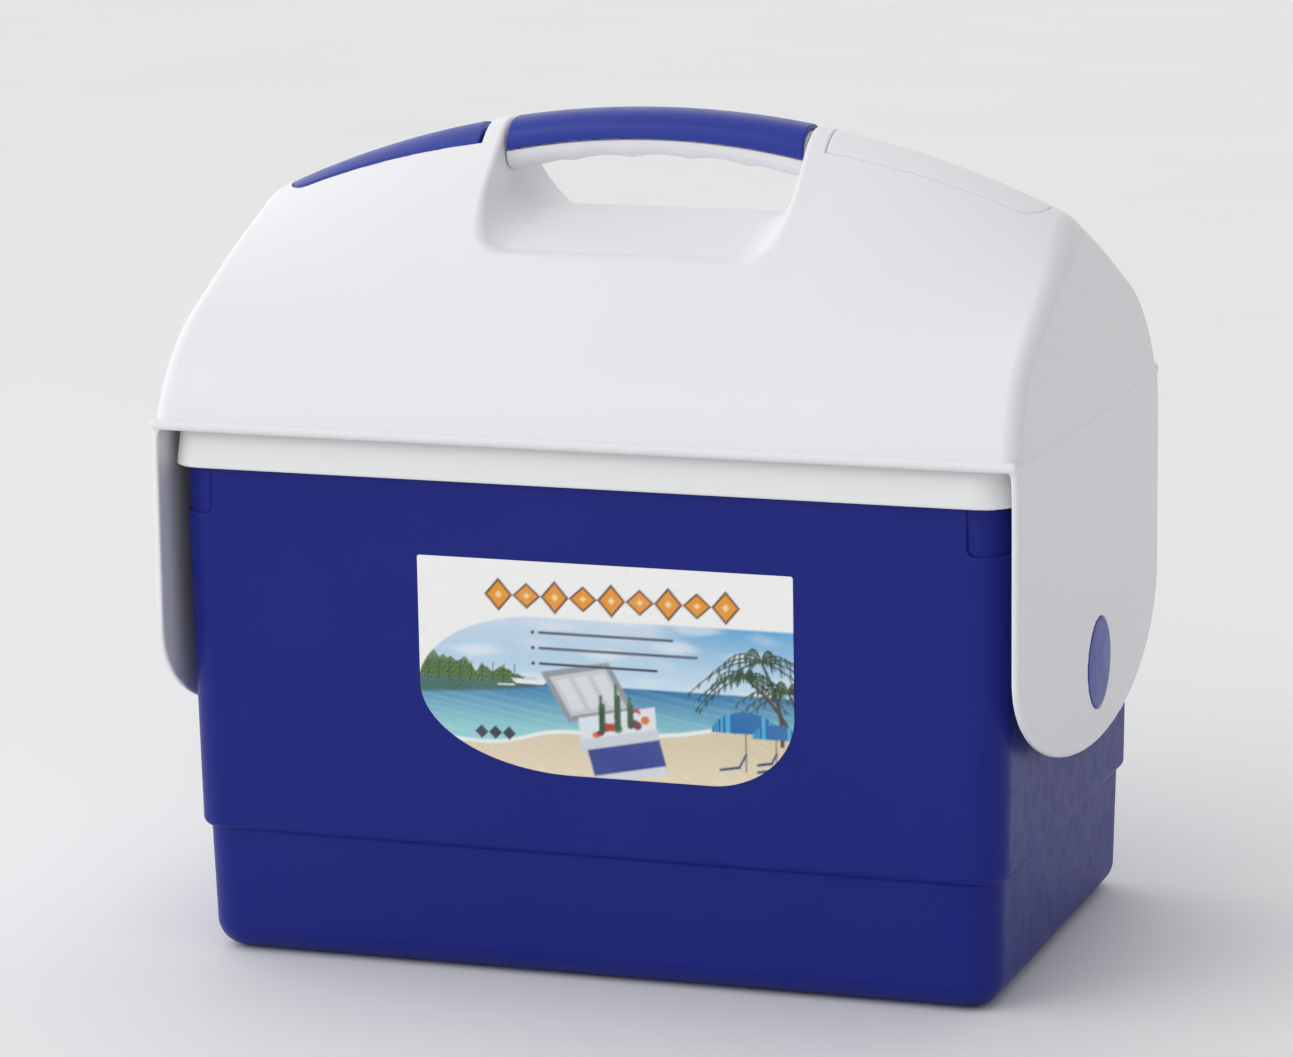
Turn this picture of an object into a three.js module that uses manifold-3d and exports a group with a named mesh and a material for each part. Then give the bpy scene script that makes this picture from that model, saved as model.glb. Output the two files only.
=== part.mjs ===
// Cooler chest: an insulated box with a roof-shaped lid on two end arms. The lid swings to the
// front or the back about one axis through the end walls. Pressing the push button on the left
// of the ridge turns a lever inside the lid, and the lever's nose lifts off the left end rim.
// Units are millimetres. +X runs along the chest, -Y is the front, +Z is up, and the origin is
// the middle of the base. Half sizes are measured from the two upright middle planes.

import * as THREE from 'three';
import { mergeVertices } from 'three/addons/utils/BufferGeometryUtils.js';
import Module from 'manifold-3d';

const wasm = await Module();
wasm.setup();

// ---- Driving dimensions ------------------------------------------------------------------

const SKIN = 2.5; // wall of every large moulding
const GAP = 0.4; // assembly gap between two pieces
const FAR = 60; // how far a cutting tool runs past the piece that it cuts
const BEYOND = { x: 240, y: 160, foot: 90 }; // half sizes and bottom of tools that clear the whole chest

// The box: half length x, half depth y and corner radius r at height z.
const BODY_CORNER = 17;
const FOOT_ROUND = 14;
const BODY_LEVELS = [
  { z: 0, x: 200.5, y: 123 },
  { z: 61, x: 202, y: 124.5 },
  { z: 66, x: 205.5, y: 128 },
  { z: 250, x: 207.6, y: 130.1 },
];
const RECESS = { depth: 1.5, fromX: 189, fromY: 111, low: 221, high: 243 };
const PLUG = { radius: 12, low: 0.5, high: 6 };

// The white lining: a collar over the box's top edge, a curved rim and the food well.
const COLLAR_LEVELS = [
  { z: 244, x: 211, y: 133.5, r: 18 },
  { z: 262, x: 209.2, y: 131.7, r: 17 },
  { z: 325, x: 208, y: 130.5, r: 17 },
];
const WELL_LEVELS = [
  { z: 25, x: 178, y: 100, r: 20 },
  { z: 335, x: 185.5, y: 107, r: 26 },
];

// The swing axis lies along X, and the rim and the lid's lining are round about it.
const PIVOT_Z = 144;
const RIM_RADIUS = 176.5;
const LINING_RADIUS = 178;
const LINING_SKIN = 2.2;
const ROUND_STEPS = 72;

// The lid's cross-section: a shoulder arc, a straight roof and a crowned ridge.
const LIP_Z = 263;
const BEAD = { radius: 2.5, y: 138.3, halfLength: 211 };
const SHOULDER = { y: 61, z: 245.6, radius: 80 };
const CROWN = { z: 408.3, radius: 470 };
const RIDGE_INNER = { x: 88, half: 19.5, drop: 9.5 };
const RIDGE_TIP = { x: 195, half: 17, drop: 5.2 };
const ROOF_UNDER_RIDGE = 7;

// The lid's ends and arms, which bow outward by BOW at the middle of their depth.
const END = {
  foot: 95, x: 216, depth: 141.5, corner: 8, bow: 4.2, lean: 0.1034, round: 18, roundZ: 352, above: 44,
};
const ARM = { skin: 3.5, half: 138.5, bottom: 105, round: 60 };

// The hand opening through the ridge, and the grip that bridges it.
const WINDOW = { half: 77.5, bottom: 345, corner: 20, floor: 358, fall: 13, fallAt: 62 };
const GRIP = {
  end: 76.7, half: 17, split: 394.5, splitRadius: 370, below: 10.5, scallop: 1.4, pitch: 30,
  underHalf: 15.5, shell: 3.2,
};

// The pivot, from the box's wall outward.
const STUB = { radius: 14, flange: 20, inner: 200.2, flangeOuter: 203.4, end: 212.5 };
const ARM_BOSS = { radius: 27, inner: 208.8, seat: 212.7 };
const CAP = { radius: 22.2, seat: 213.1, face: 217.4, rim: 220.2, dome: 0.7, skirt: 2.6 };
const WASHER = { radius: 18, inner: 213, outer: 214.4 };
const PIVOT_SCREW = { shank: 2.2, head: 5, tip: 192, seat: 214.7, end: 217 };

// The latch: button, its hinge pin, the lever, its pin and the return spring.
const BUTTON = { tip: -194, end: -90.2, sunk: 0.2, proud: 0.8, bevel: 1.5, thick: 4, round: 8 };
const SLOT_CLEAR = 0.8;
const SLOT_END = -88;
const BUTTON_PIN = { x: -184, z: 360, radius: 2 };
const BUTTON_LUG = { half: 4, fromY: 4, toY: 8, low: 356.4, high: 366 };
const SHELL_LUG = { half: 5, fromY: 10.5, toY: 15.5, low: 355.5, high: 370 };
const LEVER_PIN = { x: -140, z: 352, radius: 2 };
const PIN_BORE = 2.3;
const LEVER_HALF = 3.5;
const NOSE = { fromX: -204, toX: -196, half: 6, clear: 0.4 };
const PRESS_POST = { fromX: -106, toX: -101.5, half: 3, bottom: 364.4 };
const LATCH_ROOM = { fromX: -213, toX: -80, half: 13, low: 318, high: 400 };
const LUG_ROOM = { reach: 12, half: 17, low: 352, high: 380 };
const BUTTON_ROOM = { fromX: -200, half: 21, low: 367.5 };
const SPRING = { x: -95, radius: 4, wire: 0.6, turns: 5, low: 372.6, high: 384 };
const LEDGE = { fromX: -101, toX: -79, half: 6, low: 368, high: 371.5 };

// The lid's lining is a curved panel under the lid, with screws set square to it.
const LINING_PANEL = { half: 129, low: 230, high: 345 };
const LINING_SCREW = { x: 150, angle: 25, shank: 1.9, head: 4, boss: 7, post: 5, tip: 197 };
const EAR = { half: 14, radius: 6, y: 8.5, thick: 3 };
const HANDLE_SCREW = { shank: 1.9, from: 60, head: 4, headThick: 2.6 };

// The sticker on the front wall.
const LABEL = { left: -83, right: 105, bottom: 103, top: 207, corner: 40, small: 3, thick: 0.4 };

// ---- Materials ---------------------------------------------------------------------------

const plastic = (color, roughness) => new THREE.MeshStandardMaterial({ color, roughness, metalness: 0 });
const MATERIAL = {
  blue: () => plastic(0x1e2a78, 0.4),
  brightBlue: () => plastic(0x2d3ca5, 0.38),
  white: () => plastic(0xebebf0, 0.42),
  lining: () => plastic(0xf2f2ee, 0.5),
  foam: () => plastic(0xe8dfb8, 0.95),
  label: () => plastic(0xb8d8e8, 0.3),
  steel: () => new THREE.MeshStandardMaterial({ color: 0xb4b6ba, roughness: 0.35, metalness: 1 }),
};

// ---- Solids: building, joining and cutting -----------------------------------------------

const { lerp, clamp, degToRad } = THREE.MathUtils;
const vec = (x, y, z) => new THREE.Vector3(x, y, z);
const EXTRUDE = { bevelEnabled: false, curveSegments: 6 };

/** Turns a closed geometry into a solid that can be joined and cut. */
function solid(geometry) {
  geometry.deleteAttribute('normal');
  geometry.deleteAttribute('uv');
  const merged = mergeVertices(geometry, 1e-4);
  return new wasm.Manifold(new wasm.Mesh({
    numProp: 3,
    vertProperties: new Float32Array(merged.attributes.position.array),
    triVerts: new Uint32Array(merged.index.array),
  }));
}

const join = (...solids) => solids.reduce((whole, piece) => whole.add(piece));
const cut = (whole, ...tools) => tools.reduce((left, tool) => left.subtract(tool), whole);
const common = (...solids) => solids.reduce((whole, piece) => whole.intersect(piece));

/** Closed solid through rings of equal point counts; flat() gives a ring's plane coordinates. */
function loft(rings, flat) {
  const count = rings[0].length;
  const positions = rings.flat().flatMap((p) => [p.x, p.y, p.z]);
  const index = [];
  for (let ring = 0; ring + 1 < rings.length; ring += 1) {
    for (let i = 0; i < count; i += 1) {
      const a = ring * count + i;
      const b = ring * count + ((i + 1) % count);
      index.push(a, b, b + count, a, b + count, a + count);
    }
  }
  const last = (rings.length - 1) * count;
  for (const [a, b, c] of THREE.ShapeUtils.triangulateShape(rings[0].map(flat), [])) {
    index.push(a, c, b);
  }
  for (const [a, b, c] of THREE.ShapeUtils.triangulateShape(rings.at(-1).map(flat), [])) {
    index.push(last + a, last + b, last + c);
  }
  const geometry = new THREE.BufferGeometry();
  geometry.setAttribute('position', new THREE.Float32BufferAttribute(positions, 3));
  geometry.setIndex(index);
  return solid(geometry);
}

const loftUp = (rings) => loft(rings, (p) => new THREE.Vector2(p.x, p.y));
const loftAlong = (rings) => loft(rings, (p) => new THREE.Vector2(p.y, p.z));

/** Plain block between two corners. */
function block(x0, x1, y0, y1, z0, z1) {
  const geometry = new THREE.BoxGeometry(x1 - x0, y1 - y0, z1 - z0);
  return solid(geometry.translate((x0 + x1) / 2, (y0 + y1) / 2, (z0 + z1) / 2));
}

/** Shape drawn in (y, z), pushed along X from x0 to x1. */
function extrudeX(shape, x0, x1) {
  const geometry = new THREE.ExtrudeGeometry(shape, { depth: x1 - x0, ...EXTRUDE });
  geometry.applyMatrix4(new THREE.Matrix4().makeBasis(vec(0, 1, 0), vec(0, 0, 1), vec(1, 0, 0)));
  return solid(geometry.translate(x0, 0, 0));
}

/** Shape drawn in (x, z), pushed along Y from y0 to y1. */
function extrudeY(shape, y0, y1) {
  const geometry = new THREE.ExtrudeGeometry(shape, { depth: y1 - y0, ...EXTRUDE });
  geometry.applyMatrix4(new THREE.Matrix4().makeBasis(vec(1, 0, 0), vec(0, 0, 1), vec(0, -1, 0)));
  return solid(geometry.translate(0, y1, 0));
}

/** Round bar along X between x0 and x1. */
function rodX(radius, x0, x1, y = 0, z = PIVOT_Z, steps = 28) {
  const geometry = new THREE.CylinderGeometry(radius, radius, Math.abs(x1 - x0), steps);
  return solid(geometry.rotateZ(Math.PI / 2).translate((x0 + x1) / 2, y, z));
}

/** Round bar along Y, from -half to +half. */
function rodY(radius, half, x, z, steps = 16) {
  return solid(new THREE.CylinderGeometry(radius, radius, 2 * half, steps).translate(x, 0, z));
}

/** Round bar that points away from the swing axis, tilted by angle degrees from upright. */
function rodRadial(radius, from, to, x, angle, steps = 16) {
  const geometry = new THREE.CylinderGeometry(radius, radius, to - from, steps);
  geometry.rotateX(Math.PI / 2).translate(x, 0, (from + to) / 2);
  return solid(geometry.rotateX(degToRad(angle)).translate(0, 0, PIVOT_Z));
}

/** Everything within a radius of the swing axis. */
const swingRound = (radius) => rodX(radius, -BEYOND.x, BEYOND.x, 0, PIVOT_Z, ROUND_STEPS);

/** Everything between two heights. */
const slab = (z0, z1, halfX = BEYOND.x) => block(-halfX, halfX, -BEYOND.y, BEYOND.y, z0, z1);

/** Bar along X about the swing axis, on one side of the chest, from an inner x outward. */
const endRod = (radius, side, from, to = BEYOND.x, steps = 28) => (
  rodX(radius, side * from, side * to, 0, PIVOT_Z, steps)
);

/** The left and right copies of a solid that is made by make(side). */
const bothEnds = (make) => join(make(-1), make(1));

// ---- Outlines ----------------------------------------------------------------------------

/** Rounded rectangle at height z, with ends that bow outward. */
function planRing(z, halfX, halfY, corner, bow = 0) {
  const arcSteps = bow ? 2 : 4;
  const endSteps = bow ? 6 : 1;
  const points = [];
  for (let quarter = 0; quarter < 4; quarter += 1) {
    const signX = quarter === 0 || quarter === 3 ? 1 : -1;
    const signY = quarter < 2 ? 1 : -1;
    for (let i = 0; i <= arcSteps; i += 1) {
      const turn = (quarter + i / arcSteps) * (Math.PI / 2);
      points.push([
        signX * (halfX - corner) + corner * Math.cos(turn),
        signY * (halfY - corner) + corner * Math.sin(turn),
      ]);
    }
    if (quarter === 1 || quarter === 3) {
      for (let i = 1; i < endSteps; i += 1) {
        const y = signY * (halfY - corner) * (1 - (2 * i) / endSteps);
        points.push([signX * halfX, y]);
      }
    }
  }
  return points.map(([x, y]) => vec(x + Math.sign(x) * bow * (1 - (y / halfY) ** 2), y, z));
}

/** A level of the box between two listed levels. */
function bodyLevel(z, inset) {
  const above = Math.max(1, BODY_LEVELS.findIndex((level) => level.z >= z));
  const [low, high] = [BODY_LEVELS[above - 1], BODY_LEVELS[above]];
  const t = (z - low.z) / (high.z - low.z);
  return planRing(z, lerp(low.x, high.x, t) - inset, lerp(low.y, high.y, t) - inset, BODY_CORNER - inset);
}

/** The box's outline, inset all round, with its rounded foot; it starts at z = inset. */
function bodyBlock(inset, top) {
  const rings = [];
  const round = FOOT_ROUND - inset;
  const footSteps = 4;
  for (let i = 0; i < footSteps; i += 1) {
    const turn = (i / footSteps) * (Math.PI / 2);
    const rise = round * (1 - Math.cos(turn));
    const ring = bodyLevel(FOOT_ROUND, inset + round * (1 - Math.sin(turn)));
    rings.push(ring.map((p) => vec(p.x, p.y, inset + rise)));
  }
  rings.push(bodyLevel(FOOT_ROUND, inset));
  for (const { z } of BODY_LEVELS.slice(1, 3)) {
    rings.push(bodyLevel(z + inset, inset));
  }
  rings.push(bodyLevel(BODY_LEVELS.at(-1).z, inset).map((p) => vec(p.x, p.y, top)));
  return loftUp(rings);
}

/** The solid between listed levels, inset all round. */
function levelBlock(levels, inset, low = levels[0].z, high = levels.at(-1).z) {
  const ends = levels.map((level, i) => ({ ...level, z: i === 0 ? low : level.z }));
  ends.at(-1).z = high;
  return loftUp(ends.map((level) => planRing(level.z, level.x - inset, level.y - inset, level.r - inset)));
}

const crownZ = (x) => CROWN.z - CROWN.radius + Math.sqrt(CROWN.radius ** 2 - x ** 2);

/** Half width and drop of the crowned ridge at x. */
function ridgeAt(x) {
  const t = clamp((Math.abs(x) - RIDGE_INNER.x) / (RIDGE_TIP.x - RIDGE_INNER.x), 0, 1.2);
  return { half: lerp(RIDGE_INNER.half, RIDGE_TIP.half, t), drop: lerp(RIDGE_INNER.drop, RIDGE_TIP.drop, t) };
}

/** Ring of the roof at x. Its skin is inset, and its ridge is lowered by under. */
function roofRing(x, inset, under) {
  const arcSteps = 5;
  const crownSteps = 4;
  const { half, drop } = ridgeAt(x);
  const top = crownZ(x) - under;
  const radius = SHOULDER.radius - inset;
  const seam = new THREE.Vector2(half - SHOULDER.y, top - drop - 0.4 * inset - SHOULDER.z);
  const touch = seam.angle() - Math.acos(radius / seam.length());
  const side = [];
  for (let i = 0; i <= arcSteps; i += 1) {
    const turn = (i / arcSteps) * touch;
    side.push([SHOULDER.y + radius * Math.cos(turn), SHOULDER.z + radius * Math.sin(turn)]);
  }
  for (let i = 0; i < crownSteps; i += 1) {
    const y = half * (1 - i / crownSteps);
    side.push([y, top - drop * (y / half) ** 2 - (i === 0 ? 0.4 * inset : 0)]);
  }
  const mirrored = side.map(([y, z]) => [-y, z]).reverse();
  return [...side, [0, top], ...mirrored].map(([y, z]) => vec(x, y, z));
}

function roofBlock(inset, under) {
  const half = 225;
  const steps = 12;
  const rings = [];
  for (let i = 0; i <= steps; i += 1) {
    rings.push(roofRing(lerp(-half, half, i / steps), inset, under));
  }
  return loftAlong(rings);
}

/** The lid's ends: upright at the arms, leaning in above the lip and rounded into the ridge. */
function endBlock(inset, low = END.foot) {
  const tilt = Math.atan(END.lean);
  const leanX = END.x - END.lean * (END.roundZ - LIP_Z);
  const centre = { z: END.roundZ, x: leanX - END.round / Math.cos(tilt) };
  const topTurn = Math.atan2(centre.z - CROWN.z + CROWN.radius, centre.x);
  const outline = [[low, END.x], [LIP_Z, END.x]];
  const arcSteps = 3;
  for (let i = 0; i <= arcSteps; i += 1) {
    const turn = lerp(tilt, topTurn, i / arcSteps);
    outline.push([centre.z + END.round * Math.sin(turn), centre.x + END.round * Math.cos(turn)]);
  }
  const [lastZ, lastX] = outline.at(-1);
  outline.push([lastZ + END.above, lastX - END.above * Math.tan(topTurn)]);
  return loftUp(outline.map(([z, x]) => planRing(z, x - inset, END.depth, END.corner, END.bow)));
}

/** The hand opening, grown by offset on every side. */
function windowBlock(offset) {
  const half = WINDOW.half + offset;
  const low = WINDOW.bottom - offset;
  const high = CROWN.z + FAR;
  const shape = new THREE.Shape();
  shape.moveTo(half, high);
  shape.lineTo(-half, high);
  shape.lineTo(-half, low + WINDOW.corner);
  shape.absarc(-half + WINDOW.corner, low + WINDOW.corner, WINDOW.corner, Math.PI, 1.5 * Math.PI);
  shape.absarc(half - WINDOW.corner, low + WINDOW.corner, WINDOW.corner, 1.5 * Math.PI, 2 * Math.PI);
  const floor = new THREE.Shape();
  const reach = 90;
  const steps = 10;
  floor.moveTo(-reach, low - FAR);
  floor.lineTo(reach, low - FAR);
  for (let i = 0; i <= steps; i += 1) {
    const y = lerp(reach, -reach, i / steps);
    floor.lineTo(y, WINDOW.floor - offset - WINDOW.fall * (y / WINDOW.fallAt) ** 2);
  }
  return cut(extrudeY(shape, -BEYOND.y, BEYOND.y), extrudeX(floor, -half - FAR, half + FAR));
}

// ---- The box -----------------------------------------------------------------------------

const bucket = (inset) => levelBlock(WELL_LEVELS, inset, WELL_LEVELS[0].z + inset);
const collar = (inset, low) => levelBlock(COLLAR_LEVELS, inset, low);

function makeOuterShell() {
  const top = BODY_LEVELS.at(-1).z;
  const ring = cut(bodyBlock(-SKIN, RECESS.high), bodyBlock(RECESS.depth, RECESS.high));
  const { fromX, fromY, low, high } = RECESS;
  const corners = [-1, 1].flatMap((sx) => [-1, 1].map((sy) => common(ring, block(
    Math.min(sx * fromX, sx * BEYOND.x), Math.max(sx * fromX, sx * BEYOND.x),
    Math.min(sy * fromY, sy * BEYOND.y), Math.max(sy * fromY, sy * BEYOND.y), low, high,
  ))));
  const bore = rodX(STUB.radius + GAP, -BEYOND.x, BEYOND.x);
  const plugHole = plugRod(PLUG.radius, -1, PLUG.high + GAP);
  return cut(bodyBlock(0, top), bodyBlock(SKIN, top + 1), bore, ...corners, plugHole);
}

function plugRod(radius, z0, z1) {
  const geometry = new THREE.CylinderGeometry(radius, radius, z1 - z0, 28);
  return solid(geometry.rotateX(Math.PI / 2).translate(0, 0, (z0 + z1) / 2));
}

function makeInnerLiner() {
  const low = COLLAR_LEVELS[0].z;
  const skin = cut(collar(0, low), common(collar(SKIN, low - 1), swingRound(RIM_RADIUS - SKIN)));
  const walls = cut(bucket(-SKIN), bucket(0));
  const rimmed = common(join(skin, walls), swingRound(RIM_RADIUS));
  return cut(rimmed, bucket(0));
}

function makeBodyFoam() {
  const top = BODY_LEVELS.at(-1).z;
  const inside = SKIN + GAP;
  const upper = common(
    collar(inside, COLLAR_LEVELS[0].z - 1),
    swingRound(RIM_RADIUS - inside),
    slab(top + GAP, PIVOT_Z + RIM_RADIUS + FAR),
  );
  const fill = join(bodyBlock(inside, top + 2 * GAP), upper);
  const pockets = bothEnds((side) => join(
    endRod(STUB.flange + GAP, side, STUB.inner - GAP),
    endRod(PIVOT_SCREW.shank + GAP, side, PIVOT_SCREW.tip - GAP),
  ));
  return cut(fill, bucket(-SKIN - GAP), pockets, plugRod(PLUG.radius, 0, PLUG.high + GAP));
}

function makePivotStub(side) {
  return cut(
    join(
      endRod(STUB.flange, side, STUB.inner, STUB.flangeOuter),
      endRod(STUB.radius, side, STUB.inner, STUB.end),
    ),
    endRod(PIVOT_SCREW.shank + GAP, side, PIVOT_SCREW.tip, BEYOND.x, 16),
  );
}

function makePivotScrew(side) {
  return join(
    endRod(PIVOT_SCREW.shank, side, PIVOT_SCREW.tip, PIVOT_SCREW.seat + 0.5, 16),
    endRod(PIVOT_SCREW.head, side, PIVOT_SCREW.seat, PIVOT_SCREW.end, 16),
  );
}

function makePivotWasher(side) {
  return cut(
    endRod(WASHER.radius, side, WASHER.inner, WASHER.outer),
    endRod(PIVOT_SCREW.shank + GAP, side, PIVOT_SCREW.tip, BEYOND.x, 16),
  );
}

/** Domed cap with a skirt that clips into the arm; it is turned about the swing axis. */
function makePivotCap(side) {
  const profile = [
    [0, CAP.face], [CAP.radius - CAP.skirt, CAP.face], [CAP.radius - CAP.skirt, CAP.seat],
    [CAP.radius, CAP.seat], [CAP.radius, CAP.rim - 0.8], [CAP.radius - 0.8, CAP.rim],
    [CAP.radius / 2, CAP.rim + 0.75 * CAP.dome], [0, CAP.rim + CAP.dome],
  ].map(([r, x]) => new THREE.Vector2(r, x));
  const geometry = new THREE.LatheGeometry(profile, 32);
  return solid(geometry.rotateZ(-side * Math.PI / 2).translate(0, 0, PIVOT_Z));
}

/** The sticker lies on the front wall, so it tilts back by the wall's draft. */
function makeLabel() {
  const { left, right, bottom, top, corner, small, thick } = LABEL;
  const shape = new THREE.Shape();
  shape.moveTo(left, top - small);
  shape.absarc(left + corner, bottom + corner, corner, Math.PI, 1.5 * Math.PI);
  shape.absarc(right - corner, bottom + corner, corner, 1.5 * Math.PI, 2 * Math.PI);
  shape.absarc(right - small, top - small, small, 0, Math.PI / 2);
  shape.absarc(left + small, top - small, small, Math.PI / 2, Math.PI);
  const geometry = new THREE.ExtrudeGeometry(shape, { depth: thick, ...EXTRUDE });
  const [low, high] = BODY_LEVELS.slice(-2);
  const draft = Math.atan((high.y - low.y) / (high.z - low.z));
  geometry.translate(0, -low.z, 0).rotateX(Math.PI / 2 + draft);
  return solid(geometry.translate(0, -low.y - 0.3, low.z));
}

// ---- The lid -----------------------------------------------------------------------------

const screwSpots = [-1, 1].flatMap((sx) => [-1, 1].map((sy) => (
  { x: sx * LINING_SCREW.x, angle: sy * LINING_SCREW.angle }
)));
const LINING_TOP = LINING_RADIUS + LINING_SKIN;
const LINER_UNDER = LINING_RADIUS - 18; // where tools that pass up through the lining start
const POST_START = LINING_TOP + 4.8;
const POST_END = LINING_TOP + 34.8;

/** Strip over the ridge between two heights above the roof line, for the covers and their slots. */
function ridgeStrip(x0, x1, trim, under, over) {
  const steps = 6;
  const rows = 4;
  const rings = [];
  for (let i = 0; i <= steps; i += 1) {
    const x = lerp(x0, x1, i / steps);
    const { half, drop } = ridgeAt(x);
    const width = half - trim;
    const row = (height) => Array.from({ length: rows + 1 }, (_, j) => {
      const y = width * (1 - (2 * j) / rows);
      return vec(x, y, crownZ(x) - drop * (y / half) ** 2 + height);
    });
    rings.push([...row(over), ...row(-under).reverse()]);
  }
  return loftAlong(rings);
}

function armOutline() {
  const { half, bottom, round } = ARM;
  const steps = 28;
  const shape = new THREE.Shape();
  shape.moveTo(half, LIP_Z + 3);
  shape.lineTo(-half, LIP_Z + 3);
  for (let i = 0; i <= steps; i += 1) {
    const turn = Math.PI * (1 + i / steps);
    shape.lineTo(half * Math.cos(turn), bottom + round + round * Math.sin(turn));
  }
  return shape;
}

function makeLidShell() {
  const outline = common(roofBlock(0, 0), endBlock(0));
  const roof = cut(outline, slab(BEYOND.foot, LIP_Z));
  const beads = join(
    rodX(BEAD.radius, -BEAD.halfLength, BEAD.halfLength, -BEAD.y, LIP_Z + BEAD.radius, 16),
    rodX(BEAD.radius, -BEAD.halfLength, BEAD.halfLength, BEAD.y, LIP_Z + BEAD.radius, 16),
  );
  const arms = cut(
    common(extrudeX(armOutline(), -BEYOND.x, BEYOND.x), endBlock(0)),
    slab(BEYOND.foot, LIP_Z, COLLAR_LEVELS[0].x + 1.5 * GAP),
    slab(BEYOND.foot, BEYOND.foot + BEYOND.x, STUB.inner),
  );
  const sweep = common(
    join(endBlock(ARM.skin, BEYOND.foot), slab(BEYOND.foot, CROWN.z, COLLAR_LEVELS[0].x + 1.5 * GAP)),
    swingRound(LINING_TOP + GAP),
  );
  const chamber = cut(
    common(roofBlock(SKIN, ROOF_UNDER_RIDGE), endBlock(ARM.skin)),
    windowBlock(SKIN),
    slab(BEYOND.foot, LIP_Z - 2 * ARM.skin),
  );
  const bosses = common(
    bothEnds((side) => endRod(ARM_BOSS.radius, side, ARM_BOSS.inner)),
    join(endBlock(0), slab(BEYOND.foot, LIP_Z, END.x)),
  );
  const pivotHoles = bothEnds((side) => join(
    endRod(CAP.radius + GAP, side, ARM_BOSS.seat),
    endRod(STUB.radius + GAP, side, STUB.inner),
  ));
  const posts = common(outline, join(
    ...screwSpots.map(({ x, angle }) => rodRadial(LINING_SCREW.post, POST_START, POST_END, x, angle)),
    pinLugs(SHELL_LUG),
    block(LEDGE.fromX, LEDGE.toX, -LEDGE.half, LEDGE.half, LEDGE.low, LEDGE.high),
  ));
  const hollow = cut(join(roof, beads, arms), sweep, chamber);
  return cut(
    join(hollow, bosses, posts),
    pivotHoles,
    windowBlock(0),
    buttonSlot(),
    ridgeStrip(RIDGE_INNER.x, RIDGE_TIP.x + GAP, GAP, 3 + GAP, FAR),
    rodY(PIN_BORE, 15, BUTTON_PIN.x, BUTTON_PIN.z),
    rodX(PIN_BORE, -RIDGE_INNER.x, RIDGE_INNER.x, 0, handleScrewZ(), 16),
    ...screwSpots.map(({ x, angle }) => (
      rodRadial(LINING_SCREW.shank + GAP, LINING_RADIUS, LINING_SCREW.tip + 3, x, angle)
    )),
  );
}

function makeLidLiner() {
  const ring = cut(swingRound(LINING_TOP), swingRound(LINING_RADIUS));
  const { half, low, high } = LINING_PANEL;
  const room = common(endBlock(ARM.skin + GAP), block(-BEYOND.x, BEYOND.x, -half, half, low, high));
  const bosses = screwSpots.map(({ x, angle }) => (
    rodRadial(LINING_SCREW.boss, LINING_RADIUS + 0.8, POST_START - GAP, x, angle)
  ));
  const ears = [-1, 1].map((side) => {
    const shape = new THREE.Shape();
    shape.moveTo(LEVER_PIN.x - EAR.half, LINING_TOP + PIVOT_Z - 1.5);
    shape.lineTo(LEVER_PIN.x + EAR.half, LINING_TOP + PIVOT_Z - 1.5);
    shape.absarc(LEVER_PIN.x, LEVER_PIN.z, EAR.radius, 0, Math.PI);
    return extrudeY(shape, side * EAR.y - EAR.thick / 2, side * EAR.y + EAR.thick / 2);
  });
  const noseRoom = NOSE.half + 3;
  return cut(
    join(common(ring, room), ...bosses, ...ears),
    block(NOSE.fromX - 5, NOSE.toX + 4, -noseRoom, noseRoom, PIVOT_Z + LINER_UNDER, LEVER_PIN.z - 12),
    rodY(PIN_BORE, 15, LEVER_PIN.x, LEVER_PIN.z),
    ...screwSpots.flatMap(({ x, angle }) => [
      rodRadial(LINING_SCREW.shank + GAP, LINER_UNDER, LINING_SCREW.tip + 3, x, angle),
      rodRadial(LINING_SCREW.head + GAP, LINER_UNDER, LINING_TOP + 0.8, x, angle),
    ]),
  );
}

function makeLidFoam() {
  const inside = SKIN + GAP;
  const fill = cut(
    common(roofBlock(inside, ROOF_UNDER_RIDGE + GAP), endBlock(ARM.skin + GAP)),
    swingRound(LINING_TOP + 2 * GAP),
    windowBlock(inside),
    slab(BEYOND.foot, LIP_Z - GAP),
  );
  const { toX, high } = LATCH_ROOM;
  const headHalf = HANDLE_SCREW.head + 4;
  return cut(
    fill,
    block(LATCH_ROOM.fromX, toX, -LATCH_ROOM.half, LATCH_ROOM.half, LATCH_ROOM.low, high),
    block(
      BUTTON_PIN.x - LUG_ROOM.reach, BUTTON_PIN.x + LUG_ROOM.reach,
      -LUG_ROOM.half, LUG_ROOM.half, LUG_ROOM.low, LUG_ROOM.high,
    ),
    block(BUTTON_ROOM.fromX, toX, -BUTTON_ROOM.half, BUTTON_ROOM.half, BUTTON_ROOM.low, high),
    block(WINDOW.half, -toX + 12, -headHalf, headHalf, handleScrewZ() - headHalf - 2, high),
    ...screwSpots.flatMap(({ x, angle }) => [
      rodRadial(LINING_SCREW.boss + GAP, LINER_UNDER, POST_START, x, angle),
      rodRadial(LINING_SCREW.post + GAP, LINER_UNDER, POST_END + FAR, x, angle),
    ]),
  );
}

function makeLiningScrew({ x, angle }) {
  const seat = LINING_TOP + 0.4;
  return join(
    rodRadial(LINING_SCREW.shank, seat - 0.5, LINING_SCREW.tip, x, angle),
    rodRadial(LINING_SCREW.head, LINING_RADIUS + 0.3, seat, x, angle),
  );
}

// ---- The handle --------------------------------------------------------------------------

const splitZ = (x) => GRIP.split - x ** 2 / (2 * GRIP.splitRadius);
const handleScrewZ = () => splitZ(GRIP.end) + 1;

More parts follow.
